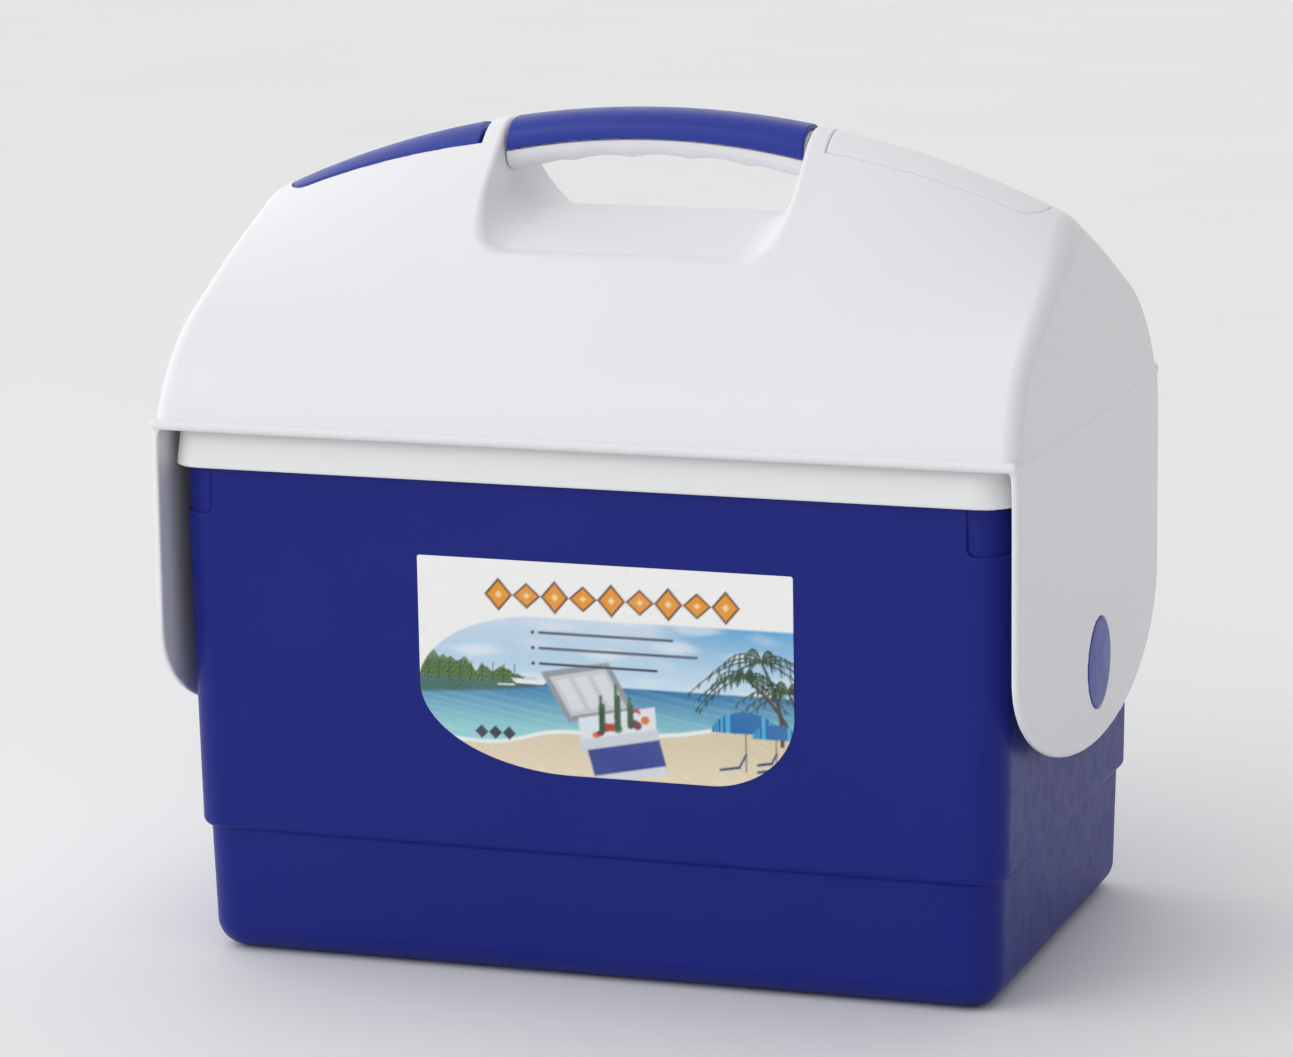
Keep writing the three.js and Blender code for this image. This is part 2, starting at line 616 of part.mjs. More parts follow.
/** Half of a rounded section, from +half to -half; direction is 1 above and -1 below. */
function gripArc(x, half, height, base, direction) {
  const steps = 8;
  return Array.from({ length: steps + 1 }, (_, i) => {
    const turn = (i / steps) * Math.PI;
    const side = Math.sign(Math.cos(turn)) * Math.abs(Math.cos(turn)) ** 0.8;
    return vec(x, half * side, base + direction * height * Math.abs(Math.sin(turn)) ** 0.8);
  });
}

function gripRings(ringAt, end) {
  const steps = 20;
  return Array.from({ length: steps + 1 }, (_, i) => ringAt(lerp(-end, end, i / steps)));
}

const scallopAt = (x) => {
  const reach = clamp((62 - Math.abs(x)) / 12, 0, 1);
  return reach * GRIP.scallop * Math.abs(Math.cos((Math.PI * x) / GRIP.pitch));
};

const coreTop = (x, grow) => {
  const height = crownZ(x) - splitZ(x) - GRIP.shell + grow;
  return gripArc(x, GRIP.half - GRIP.shell + grow, height, splitZ(x), 1);
};

/** White core of the grip: the lower half shows, and the upper half is inside the cover. */
function makeHandleUnderside() {
  const ringAt = (x) => {
    const under = gripArc(x, GRIP.underHalf, GRIP.below - scallopAt(x), splitZ(x), -1);
    return [...coreTop(x, 0), ...under.reverse()];
  };
  const from = HANDLE_SCREW.from - 2;
  const screwBore = bothEnds((side) => (
    rodX(PIN_BORE, side * from, side * (from + FAR), 0, handleScrewZ(), 16)
  ));
  return cut(loftAlong(gripRings(ringAt, GRIP.end)), screwBore);
}

/** Blue cover that clips over the core. */
function makeHandleGrip() {
  const ringAt = (x) => {
    const outer = gripArc(x, GRIP.half, crownZ(x) - splitZ(x) - GAP, splitZ(x) + GAP, 1);
    const inner = coreTop(x, GAP).map((p) => vec(p.x, p.y, Math.max(p.z, splitZ(x) + GAP)));
    return [...outer, ...inner.reverse()];
  };
  return loftAlong(gripRings(ringAt, GRIP.end - 0.7));
}

function makeHandleScrew(side) {
  const head = WINDOW.half + SKIN + GAP;
  return join(
    rodX(HANDLE_SCREW.shank, side * HANDLE_SCREW.from, side * (head + 0.5), 0, handleScrewZ(), 16),
    rodX(HANDLE_SCREW.head, side * head, side * (head + HANDLE_SCREW.headThick), 0, handleScrewZ(), 16),
  );
}

const makeRidgeCover = () => ridgeStrip(RIDGE_INNER.x + GAP, RIDGE_TIP.x, 2 * GAP, 3, 0);

// ---- The latch ---------------------------------------------------------------------------

/** Pair of lugs about the button's hinge pin. */
function pinLugs({ half, fromY, toY, low, high }) {
  const [x0, x1] = [BUTTON_PIN.x - half, BUTTON_PIN.x + half];
  return join(block(x0, x1, -toY, -fromY, low, high), block(x0, x1, fromY, toY, low, high));
}

/** Half width of the button's outline at x; its outer tip is round. */
function buttonHalf(x) {
  const along = clamp((BUTTON.tip + BUTTON.round - x) / BUTTON.round, 0, 0.98);
  return (ridgeAt(x).half - 1.2) * Math.sqrt(1 - along ** 2);
}

function buttonSlot() {
  const steps = 14;
  const rings = Array.from({ length: steps + 1 }, (_, i) => {
    const x = lerp(BUTTON.tip - SLOT_CLEAR, SLOT_END, (i / steps) ** 1.5);
    const half = buttonHalf(Math.max(x, BUTTON.tip + 0.5)) + SLOT_CLEAR;
    return [vec(x, half, 350), vec(x, half, 450), vec(x, -half, 450), vec(x, -half, 350)];
  });
  return loftAlong(rings);
}

function makePushButton() {
  const steps = 16;
  const rings = Array.from({ length: steps + 1 }, (_, i) => {
    const x = lerp(BUTTON.tip, BUTTON.end, (i / steps) ** 1.5);
    const half = buttonHalf(x);
    const { drop } = ridgeAt(x);
    const edge = crownZ(x) - drop + BUTTON.proud - (i === steps ? 2 : 0);
    const rise = drop - BUTTON.proud - BUTTON.sunk;
    const bevel = Math.min(BUTTON.bevel, half / 2);
    const side = [[half, edge - BUTTON.thick], [half, edge - BUTTON.bevel]];
    for (const t of [1, 0.75, 0.5, 0.25]) {
      side.push([(half - bevel) * t, edge + rise * (1 - t ** 2)]);
    }
    const mirrored = side.map(([y, z]) => [-y, z]).reverse();
    return [...side, [0, edge + rise], ...mirrored].map(([y, z]) => vec(x, y, z));
  });
  const { x, z } = BUTTON_PIN;
  const { fromX, toX, half, bottom } = PRESS_POST;
  return cut(
    join(loftAlong(rings), pinLugs(BUTTON_LUG), block(fromX, toX, -half, half, bottom, 390)),
    rodY(PIN_BORE, 15, x, z),
  );
}

/** Rocking lever: the button presses its inner arm, and its nose rises from the end rim. */
function makeLatchLever() {
  const noseLow = PIVOT_Z + RIM_RADIUS + NOSE.clear;
  const shape = new THREE.Shape();
  shape.moveTo(NOSE.fromX, noseLow);
  shape.lineTo(NOSE.toX, noseLow);
  shape.lineTo(NOSE.toX, 338);
  shape.lineTo(LEVER_PIN.x, 346.5);
  shape.lineTo(-100, 358.5);
  shape.lineTo(-100, PRESS_POST.bottom - GAP);
  shape.lineTo(-108, PRESS_POST.bottom - GAP);
  shape.lineTo(LEVER_PIN.x, 358);
  shape.lineTo(NOSE.toX - 3, 346);
  shape.lineTo(NOSE.fromX, 342);
  const nose = block(NOSE.fromX, NOSE.toX, -NOSE.half, NOSE.half, noseLow, noseLow + 9);
  return cut(
    join(extrudeY(shape, -LEVER_HALF, LEVER_HALF), nose, rodY(6, LEVER_HALF + 2, LEVER_PIN.x, LEVER_PIN.z)),
    rodY(PIN_BORE, 15, LEVER_PIN.x, LEVER_PIN.z),
  );
}

class Helix extends THREE.Curve {
  getPoint(t, target = new THREE.Vector3()) {
    const turn = 2 * Math.PI * SPRING.turns * t;
    const z = lerp(SPRING.low, SPRING.high, t);
    return target.set(SPRING.x + SPRING.radius * Math.cos(turn), SPRING.radius * Math.sin(turn), z);
  }
}

function makeSpring() {
  const wire = new THREE.Shape();
  wire.absarc(0, 0, SPRING.wire, 0, 2 * Math.PI);
  const options = { steps: SPRING.turns * 10, curveSegments: 2, extrudePath: new Helix() };
  return solid(new THREE.ExtrudeGeometry(wire, options));
}

// ---- Assembly ----------------------------------------------------------------------------

const chest = new THREE.Group();

function add(name, piece, material) {
  const { vertProperties, triVerts } = piece.getMesh();
  const geometry = new THREE.BufferGeometry();
  geometry.setAttribute('position', new THREE.BufferAttribute(new Float32Array(vertProperties), 3));
  geometry.setIndex(new THREE.BufferAttribute(new Uint32Array(triVerts), 1));
  const mesh = new THREE.Mesh(geometry, material());
  mesh.name = name;
  chest.add(mesh);
}

add('outer_shell', makeOuterShell(), MATERIAL.blue);
add('inner_liner', makeInnerLiner(), MATERIAL.lining);
add('body_foam', makeBodyFoam(), MATERIAL.foam);
add('foam_plug', plugRod(PLUG.radius - GAP, PLUG.low, PLUG.high), MATERIAL.blue);
add('front_label', makeLabel(), MATERIAL.label);
add('lid_shell', makeLidShell(), MATERIAL.white);
add('lid_liner', makeLidLiner(), MATERIAL.lining);
add('lid_foam', makeLidFoam(), MATERIAL.foam);
add('handle_underside', makeHandleUnderside(), MATERIAL.white);
add('handle_grip', makeHandleGrip(), MATERIAL.brightBlue);
add('right_ridge_cover', makeRidgeCover(), MATERIAL.white);
add('push_button', makePushButton(), MATERIAL.brightBlue);
add('button_pin', rodY(BUTTON_PIN.radius, 14.6, BUTTON_PIN.x, BUTTON_PIN.z), MATERIAL.steel);
add('button_spring', makeSpring(), MATERIAL.steel);
add('latch_lever', makeLatchLever(), MATERIAL.white);
add('lever_pin', rodY(LEVER_PIN.radius, 10.6, LEVER_PIN.x, LEVER_PIN.z), MATERIAL.steel);
screwSpots.forEach((spot, i) => add(`lid_liner_screw_${i + 1}`, makeLiningScrew(spot), MATERIAL.steel));
for (const [name, side] of [['left', -1], ['right', 1]]) {
  add(`pivot_stub_${name}`, makePivotStub(side), MATERIAL.lining);
  add(`pivot_washer_${name}`, makePivotWasher(side), MATERIAL.steel);
  add(`pivot_screw_${name}`, makePivotScrew(side), MATERIAL.steel);
  add(`pivot_cap_${name}`, makePivotCap(side), MATERIAL.brightBlue);
  add(`handle_screw_${name}`, makeHandleScrew(side), MATERIAL.steel);
}

export default chest;
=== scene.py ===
"""Looks of the cooler chest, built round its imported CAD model.

Each moulding is written as a rounded distance field in millimetres, and surface() turns a field into
a mesh whose vertices lie on it. Pieces ride on the CAD bodies and stand for the CAD nodes.
"""

import math

import bpy
import numpy as np
from mathutils import Matrix, Vector


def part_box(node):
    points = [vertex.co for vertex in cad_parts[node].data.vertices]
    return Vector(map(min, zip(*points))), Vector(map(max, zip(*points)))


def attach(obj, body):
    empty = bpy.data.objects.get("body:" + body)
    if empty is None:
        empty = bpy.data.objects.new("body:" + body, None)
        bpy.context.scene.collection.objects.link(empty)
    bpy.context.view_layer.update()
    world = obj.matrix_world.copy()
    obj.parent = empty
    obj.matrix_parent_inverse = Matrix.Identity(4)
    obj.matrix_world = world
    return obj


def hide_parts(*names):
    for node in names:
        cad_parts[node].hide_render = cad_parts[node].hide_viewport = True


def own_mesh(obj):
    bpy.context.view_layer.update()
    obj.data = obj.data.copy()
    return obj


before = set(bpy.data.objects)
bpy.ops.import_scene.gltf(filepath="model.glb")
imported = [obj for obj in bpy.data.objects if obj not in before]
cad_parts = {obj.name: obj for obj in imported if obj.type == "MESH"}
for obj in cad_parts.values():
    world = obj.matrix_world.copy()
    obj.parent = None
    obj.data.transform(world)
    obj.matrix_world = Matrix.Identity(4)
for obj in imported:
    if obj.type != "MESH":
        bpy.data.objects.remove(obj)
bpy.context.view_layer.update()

MM = 0.001


def node_box(node):
    """Lowest and highest corner of a CAD node, in millimetres."""
    low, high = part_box(node)
    return np.array(low) / MM, np.array(high) / MM


# ---- Driving dimensions, in millimetres ---------------------------------------------------

SHELL_HIGH = node_box("outer_shell")[1]
LINER_HIGH = node_box("inner_liner")[1]
LID_LOW = node_box("lid_shell")[0]
LINING_HIGH = node_box("lid_liner")[1]
CAP_LOW, CAP_HIGH = node_box("pivot_cap_right")
BUTTON_LOW, BUTTON_HIGH = node_box("push_button")
COVER_LOW, COVER_HIGH = node_box("right_ridge_cover")
GRIP_HIGH = node_box("handle_grip")[1]
CORE_HIGH = node_box("handle_underside")[1]
LABEL_LOW, LABEL_HIGH = node_box("front_label")

GAP = 0.4
FAR = 200.0
PIVOT_Z = (CAP_LOW[2] + CAP_HIGH[2]) / 2
CAP_RADIUS = (CAP_HIGH[2] - CAP_LOW[2]) / 2
CAP = {"dome": 0.7, "wall": 2.6, "skin": 3.5}

# The box: the upper part stands out over the lower part at a belt.
WALL = 2.5
CORNER = 17.0
FOOT_ROUND = 14.0
BELT_Z = 62.5
BELT_ROUND = 4.0
BELT_FILLET = 1.0
UPPER_DRAFT = 2.6 / 184
LOWER_STEP = 5.6
LOWER_DRAFT = 1.5 / 61
RECESS = {"depth": 1.5, "x": 18.6, "y": 19.1, "low": 29.0, "corner": 4.0}
PLUG_HOLE = 12.0
STUB_HOLE = 14.4

# The white lining: collar, round rim and food well.
COLLAR_Z = (244.0, 262.0, 325.0)
COLLAR_INSET = (0.0, 1.8, 3.0)
COLLAR_CORNER = 17.5
COLLAR_EDGE = 3.0
WELL_EDGE = 4.0
RIM_RADIUS = LINER_HIGH[2] - PIVOT_Z
WELL_Z = (25.0, 335.0)
WELL_X = (178.0, 185.5)
WELL_Y = (100.0, 107.0)
WELL_CORNER = 22.0
WELL_FLOOR_ROUND = 18.0

LINING_RADIUS = 178.0
LINING_SKIN = 2.2

# The lid: shoulder arc, sloping roof, crowned ridge, leaning ends and two arms.
LIP_Z = 263.0
BEAD = {"radius": 2.5, "y": 138.3}
SHOULDER = {"y": 61.0, "z": 245.6, "radius": 80.0}
CROWN_Z = GRIP_HIGH[2]
CROWN_RADIUS = 470.0
RIDGE_X = (88.0, 195.0)
RIDGE_HALF = (19.5, 17.0)
RIDGE_DROP = (9.5, 5.2)
RIDGE_SEAM = 3.0
PAST_TIP = 1.2
SEAM_SINK = 0.4
ROOF_BULGE = 1.0
BULGE_PEAK = 6.75  # makes the highest point of t * t * (1 - t) one
END = {"x": 216.0, "depth": 141.5, "bow": 4.2, "lean": 0.1034, "bend": 22.0}
END_ROUND = (10.0, 8.0)
END_ROUND_Y = (14.0, 60.0)
LID_WALL = 3.0
LID_WALL_AT_EDGES = 1.4 * LID_WALL
ARM = {"skin": 3.5, "half": 138.5, "bottom": LID_LOW[2], "round": 60.0, "top": 266.0, "edge": 2.4}
ARM_BOSS = {"radius": 27.0, "inner": 208.8, "seat": CAP_LOW[0] - GAP}
SWEEP_X = LINER_HIGH[0] + 0.6
SWEEP_RADIUS = LINING_RADIUS + LINING_SKIN + GAP
WINDOW = {"half": 77.5, "corner": 21.0, "floor": 358.0, "low": 345.0, "fall_at": 62.0, "edge": 3.2}

# The grip and the covers of the ridge.
GRIP_SPLIT = {"z": 394.5, "radius": 370.0}
GRIP_POWER = 2.4
GRIP_BELOW = 10.5
GRIP_SHELL = 3.2
SCALLOP = {"depth": 1.5, "pitch": 30.0, "reach": 62.0, "fade": 12.0}
BUTTON = {"trim": 1.2, "sunk": 0.2, "proud": 0.8, "thick": 4.0, "tip": 12.0, "chamfer": 3.0}
BUTTON_SLOT = {"end": 2.2, "low": 350.0}
COVER = {"trim": 1.3, "thick": 3.0, "tip": 13.0, "floor": 2.4}

LINING_SCREW = {"x": 150.0, "angle": 25.0, "hole": 4.4, "room": 7.4}
ROOF_UNDER_RIDGE = 7.0
# Rooms in the lid's foam: lowest x and z, then highest x, |y| and z.
FOAM_ROOMS = (
    ((-213.0, 318.0), (-80.0, 13.0, 410.0)),
    ((-196.0, 352.0), (-172.0, 17.0, 380.0)),
    ((-200.0, 367.5), (-80.0, 21.0, 410.0)),
    ((70.0, 370.0), (92.0, 8.0, 410.0)),
)
LUG = {
    "x": -184.0, "half": 4.0, "y": 6.0, "thick": 2.0, "low": 356.4, "under": 1.5,
    "pin": 360.0, "bore": 2.3,
}
POST = {"x": -103.75, "half": 2.25, "deep": 3.0, "low": 364.4}
SPRING = {"x": -95.0, "radius": 4.0, "wire": 0.6, "turns": 5, "low": 372.6, "high": 384.0, "pressed": 0.62}


# ---- Distance fields ----------------------------------------------------------------------


def both(a, b, r=0.0):
    """What is in a and in b, with the edge between them rounded by r."""
    return np.minimum(np.maximum(a, b), -r) + np.hypot(np.maximum(a + r, 0), np.maximum(b + r, 0))


def either(a, b, r=0.0):
    """What is in a or in b, with the inner corner between them filled by radius r."""
    return -both(-a, -b, r)


def without(a, b, r=0.0):
    return both(a, -b, r)


def plan_box(x, y, half_x, half_y, r):
    """Distance from a rounded rectangle."""
    qx = np.abs(x) - half_x + r
    qy = np.abs(y) - half_y + r
    return np.hypot(np.maximum(qx, 0), np.maximum(qy, 0)) + np.minimum(np.maximum(qx, qy), 0) - r


def swing_radius(y, z):
    return np.hypot(y, z - PIVOT_Z)


def outer_block(x, y, z):
    """The box's outside, without its recesses."""
    up = UPPER_DRAFT * (z - SHELL_HIGH[2])
    upper = plan_box(x, y, SHELL_HIGH[0] + up, SHELL_HIGH[1] + up, CORNER)
    upper = both(upper, BELT_Z - z, BELT_ROUND)
    low = LOWER_DRAFT * (z - BELT_Z) - LOWER_STEP
    lower = plan_box(x, y, SHELL_HIGH[0] + low, SHELL_HIGH[1] + low, CORNER)
    lower = both(lower, -z, FOOT_ROUND)
    return either(upper, lower, BELT_FILLET)


def outer_shell(x, y, z):
    block = outer_block(x, y, z)
    away = np.maximum(SHELL_HIGH[0] - RECESS["x"] - np.abs(x), SHELL_HIGH[1] - RECESS["y"] - np.abs(y))
    recess = both(away, SHELL_HIGH[2] - RECESS["low"] - z, RECESS["corner"])
    recess = np.maximum(recess, -(block + RECESS["depth"]))
    carved = without(block, recess, r=0.5)
    shell = np.maximum(both(carved, z - SHELL_HIGH[2], 0.6), -(carved + WALL))
    shell = np.maximum(shell, STUB_HOLE - swing_radius(y, z))
    return np.maximum(shell, PLUG_HOLE - np.hypot(x, y))


def collar_block(x, y, z):
    inset = np.interp(z, COLLAR_Z, COLLAR_INSET)
    wall = plan_box(x, y, LINER_HIGH[0] - inset, LINER_HIGH[1] - inset, COLLAR_CORNER)
    return both(wall, swing_radius(y, z) - RIM_RADIUS, COLLAR_EDGE)


def well(x, y, z, grow=0.0):
    half_x = np.interp(z, WELL_Z, WELL_X) + grow
    half_y = np.interp(z, WELL_Z, WELL_Y) + grow
    wall = plan_box(x, y, half_x, half_y, WELL_CORNER + grow)
    return both(wall, WELL_Z[0] - grow - z, WELL_FLOOR_ROUND + grow)


def inner_liner(x, y, z):
    block = collar_block(x, y, z)
    skin = both(np.maximum(block, -(block + WALL)), COLLAR_Z[0] - z, r=0.6)
    opening = well(x, y, z)
    top = both(swing_radius(y, z) - RIM_RADIUS, -opening, WELL_EDGE)
    return np.maximum(np.minimum(skin, well(x, y, z, WALL)), top)


def crown_z(x):
    return CROWN_Z - CROWN_RADIUS + np.sqrt(CROWN_RADIUS**2 - x**2)


def towards_tip(x, most=1.0):
    """0 at the ridge's inner end, 1 at its tip, and up to most past the tip."""
    return np.clip((np.abs(x) - RIDGE_X[0]) / (RIDGE_X[1] - RIDGE_X[0]), 0, most)


def ridge(x):
    """Half width and drop of the crowned ridge at x."""
    t = towards_tip(x, PAST_TIP)
    return (
        RIDGE_HALF[0] + t * (RIDGE_HALF[1] - RIDGE_HALF[0]),
        RIDGE_DROP[0] + t * (RIDGE_DROP[1] - RIDGE_DROP[0]),
    )


def crown(x, y, z):
    half, drop = ridge(x)
    slope = 2 * drop * np.abs(y) / half**2
    return (z - crown_z(x) + drop * (y / half) ** 2) / np.sqrt(1 + slope**2)


def roof(x, y, z, inset=0.0, under=0.0):
    """The lid's cross-section: crown over the ridge, a slope that is fuller near the ends, and an arc."""
    half, drop = ridge(x)
    radius = SHOULDER["radius"] - inset
    seam_y = half - SHOULDER["y"]
    seam_z = crown_z(x) - under - drop - SEAM_SINK * inset - SHOULDER["z"]
    touch = np.arctan2(seam_z, seam_y) - np.arccos(radius / np.hypot(seam_y, seam_z))
    across = np.abs(y) - SHOULDER["y"]
    up = z - SHOULDER["z"]
    slope = across * np.cos(touch) + up * np.sin(touch) - radius
    length = seam_z * np.cos(touch) - seam_y * np.sin(touch)
    run = np.clip((up * np.cos(touch) - across * np.sin(touch)) / length, 0, PAST_TIP)
    slope = slope - ROOF_BULGE * towards_tip(x) * BULGE_PEAK * run**2 * (1 - run)
    arc = np.hypot(across, up) - radius
    side = np.where(np.arctan2(up, across) < touch, arc, slope)
    share = np.clip((np.abs(y) - half) / (2 * RIDGE_SEAM) + 0.5, 0, 1)
    return crown(x, y, z + under) * (1 - share) + side * share


def lid_end(x, y, z):
    """Past the lid's bowed ends, which lean in above the lip after a soft bend."""
    out = np.abs(x) - END["x"] - END["bow"] * (1 - (y / END["depth"]) ** 2)
    bend = END["bend"]
    into = np.clip(z - LIP_Z + bend, 0, 2 * bend)
    return out + END["lean"] * (into**2 / (4 * bend) + np.maximum(z - LIP_Z - bend, 0))


def window(x, y, z):
    """The hand opening: a tunnel along Y with a crowned floor."""
    fall = (WINDOW["floor"] - WINDOW["low"]) * (y / WINDOW["fall_at"]) ** 2
    floor = np.maximum(WINDOW["floor"] - fall, WINDOW["low"])
    return plan_box(x, z - floor - FAR, WINDOW["half"], FAR, WINDOW["corner"])


def button_outline(x, y):
    half, _ = ridge(x)
    return both(np.abs(y) - half + BUTTON["trim"], BUTTON_LOW[0] - x, BUTTON["tip"])


def cover_outline(x, y):
    half, _ = ridge(x)
    return both(np.abs(y) - half + COVER["trim"], x - COVER_HIGH[0], COVER["tip"])


def end_rounding(y):
    """Radius between the lid's roof and its ends: large over the ridge and smaller down the slopes."""
    t = np.clip((np.abs(y) - END_ROUND_Y[0]) / (END_ROUND_Y[1] - END_ROUND_Y[0]), 0, 1)
    return END_ROUND[0] + t * t * (3 - 2 * t) * (END_ROUND[1] - END_ROUND[0])


def arm_outline(y, z):
    """Past an arm's outline: straight sides that end in half an ellipse."""
    tiny = 1e-6
    down = np.minimum(z - ARM["bottom"] - ARM["round"], 0)
    near = np.hypot(y / ARM["half"], down / ARM["round"]) + tiny
    slope = np.hypot(y / ARM["half"] ** 2, down / ARM["round"] ** 2) + tiny / ARM["round"]
    return near * (near - 1) / slope


def lid_outside(x, y, z):
    """The roof and the ends, with the hand opening cut through."""
    block = both(roof(x, y, z), lid_end(x, y, z), end_rounding(y))
    return without(block, window(x, y, z), WINDOW["edge"])


def cover_pocket(x, y, z):
    """Pocket for the right ridge cover."""
    pocket = np.maximum(cover_outline(x, y) - GAP, COVER_LOW[0] - GAP - x)
    return np.maximum(pocket, -(crown(x, y, z) + COVER["thick"] + GAP))


def lid_room(x, y, z, gap=0.0):
    """Room inside the lid's walls, smaller by gap on every side."""
    room = roof(x, y, z, LID_WALL + gap, ROOF_UNDER_RIDGE + gap)
    room = np.maximum(room, lid_end(x, y, z) + ARM["skin"] + gap)
    room = np.maximum(room, COVER["floor"] - cover_pocket(x, y, z))
    return np.maximum(room, lid_outside(x, y, z) + LID_WALL_AT_EDGES + gap)


def block_between(x, y, z, low, high):
    """Past a plain block, which is the same on both sides of the middle plane y = 0."""
    along = np.maximum(low[0] - x, x - high[0])
    return np.maximum(np.maximum(along, np.abs(y) - high[1]), np.maximum(low[1] - z, z - high[2]))


def lid_shell(x, y, z):
    end = lid_end(x, y, z)
    main = both(lid_outside(x, y, z), LIP_Z - z, r=0.8)
    bead_at = np.hypot(np.abs(y) - BEAD["y"], z - LIP_Z - BEAD["radius"])
    bead = both(bead_at - BEAD["radius"], end, r=1.6)
    main = either(main, bead, r=0.6)
    arm = np.maximum(both(arm_outline(y, z), end, ARM["edge"]), z - ARM["top"])
    arm = np.maximum(arm, SWEEP_X - np.abs(x))
    chamber = np.maximum(lid_room(x, y, z), LIP_Z - 2 * ARM["skin"] - z)
    sweep = np.minimum(end + ARM["skin"], np.abs(x) - SWEEP_X)
    sweep = np.maximum(sweep, swing_radius(y, z) - SWEEP_RADIUS)
    body = either(main, arm, r=1.0)
    body = without(body, np.minimum(chamber, sweep), r=0.5)
    boss = np.maximum(swing_radius(y, z) - ARM_BOSS["radius"], ARM_BOSS["inner"] - np.abs(x))
    body = np.minimum(body, np.maximum(boss, end))
    seat = np.maximum(swing_radius(y, z) - CAP_RADIUS - GAP, ARM_BOSS["seat"] - np.abs(x))
    body = without(body, seat, r=0.7)
    body = np.maximum(body, STUB_HOLE - swing_radius(y, z))
    slot = np.maximum(button_outline(x, y) - 2 * GAP, x - BUTTON_HIGH[0] - BUTTON_SLOT["end"])
    slot = np.maximum(slot, BUTTON_SLOT["low"] - z)
    body = without(body, slot, r=0.5)
    return without(body, cover_pocket(x, y, z), r=0.35)


def screw_axes(x, y, z):
    """Distance from the nearest axis of the lining's four screws."""
    nearest = FAR
    for sign in (-1, 1):
        turn = math.radians(LINING_SCREW["angle"]) * sign
        along = y * math.cos(turn) + (z - PIVOT_Z) * math.sin(turn)
        nearest = np.minimum(nearest, np.hypot(np.abs(x) - LINING_SCREW["x"], along))
    return nearest


def lid_liner(x, y, z):
    """Curved panel under the lid, with a hole for each screw head."""
    sheet = np.abs(swing_radius(y, z) - LINING_RADIUS - LINING_SKIN / 2) - LINING_SKIN / 2
    room = np.maximum(lid_end(x, y, z) + ARM["skin"] + GAP, np.abs(y) - LINING_HIGH[1])
    sheet = both(sheet, room, r=0.8)
    return without(sheet, screw_axes(x, y, z) - LINING_SCREW["hole"], r=0.4)


def lid_foam(x, y, z):
    """Fills the lid between its shell and its lining, round the latch and the screws."""
    fill = np.maximum(lid_room(x, y, z, 2 * GAP), SWEEP_RADIUS + GAP - swing_radius(y, z))
    fill = np.maximum(fill, LIP_Z - GAP - z)
    for low, high in FOAM_ROOMS:
        fill = without(fill, block_between(x, y, z, low, high), r=0.8)
    return without(fill, screw_axes(x, y, z) - LINING_SCREW["room"], r=0.8)


def right_ridge_cover(x, y, z):
    top = crown(x, y, z)
    plate = np.maximum(cover_outline(x, y), COVER_LOW[0] - x)
    return np.maximum(both(plate, top, 0.7), -(top + COVER["thick"]))


def push_button(x, y, z):
    half, drop = ridge(x)
    edge = crown_z(x) - drop + BUTTON["proud"]
    rise = drop - BUTTON["proud"] - BUTTON["sunk"]
    wide = half - BUTTON["trim"]
    slope = 2 * rise * np.abs(y) / wide**2
    top = (z - edge - rise * (1 - (y / wide) ** 2)) / np.sqrt(1 + slope**2)
    outline = button_outline(x, y)
    bevel = ((x - BUTTON_HIGH[0]) + (z - edge - rise + BUTTON["chamfer"])) / math.sqrt(2)
    plate = both(both(outline, top, 1.5), x - BUTTON_HIGH[0], r=0.6)
    plate = both(plate, bevel, r=0.5)
    plate = np.maximum(plate, edge - BUTTON["thick"] - z)
    lug = both(np.abs(x - LUG["x"]) - LUG["half"], LUG["low"] - z, r=3.0)
    lug = np.maximum(lug, np.abs(np.abs(y) - LUG["y"]) - LUG["thick"])
    lug = np.maximum(lug, LUG["bore"] - np.hypot(x - LUG["x"], z - LUG["pin"]))
    lug = np.maximum(lug, top + LUG["under"])
    post = both(np.abs(x - POST["x"]) - POST["half"], np.abs(y) - POST["deep"], r=0.8)
    post = np.maximum(post, np.maximum(POST["low"] - z, top + LUG["under"]))
    return np.minimum(plate, np.minimum(lug, post))


def grip_split(x):
    return GRIP_SPLIT["z"] - x**2 / (2 * GRIP_SPLIT["radius"])


def half_oval(y, up, half, height):
    """Rounded half section: positive up is the side that it fills."""
    power = GRIP_POWER
    shape = (np.abs(y / half) ** power + np.abs(up / height) ** power) ** (1 / power)
    return (shape - 1) * np.minimum(half, height)


def handle_grip(x, y, z):
    up = z - grip_split(x) - GAP
    height = crown_z(x) - grip_split(x) - GAP
    outer = half_oval(y, up, GRIP_HIGH[1], height)
    inner = half_oval(y, up, GRIP_HIGH[1] - GRIP_SHELL + GAP, height - GRIP_SHELL + GAP)
    section = np.maximum(both(outer, -up, 0.8), -inner)
    return both(section, np.abs(x) - GRIP_HIGH[0], r=0.8)


def handle_underside(x, y, z):
    up = z - grip_split(x)
    reach = np.clip((SCALLOP["reach"] - np.abs(x)) / SCALLOP["fade"], 0, 1)
    scallop = reach * SCALLOP["depth"] * np.abs(np.cos(np.pi * x / SCALLOP["pitch"]))
    under = half_oval(y, up, CORE_HIGH[1], GRIP_BELOW - scallop)
    under = both(under, up, r=0.8)
    core = half_oval(y, up, GRIP_HIGH[1] - GRIP_SHELL, crown_z(x) - grip_split(x) - GRIP_SHELL)
    return np.maximum(np.minimum(under, np.maximum(core, -up - 2)), np.abs(x) - CORE_HIGH[0])


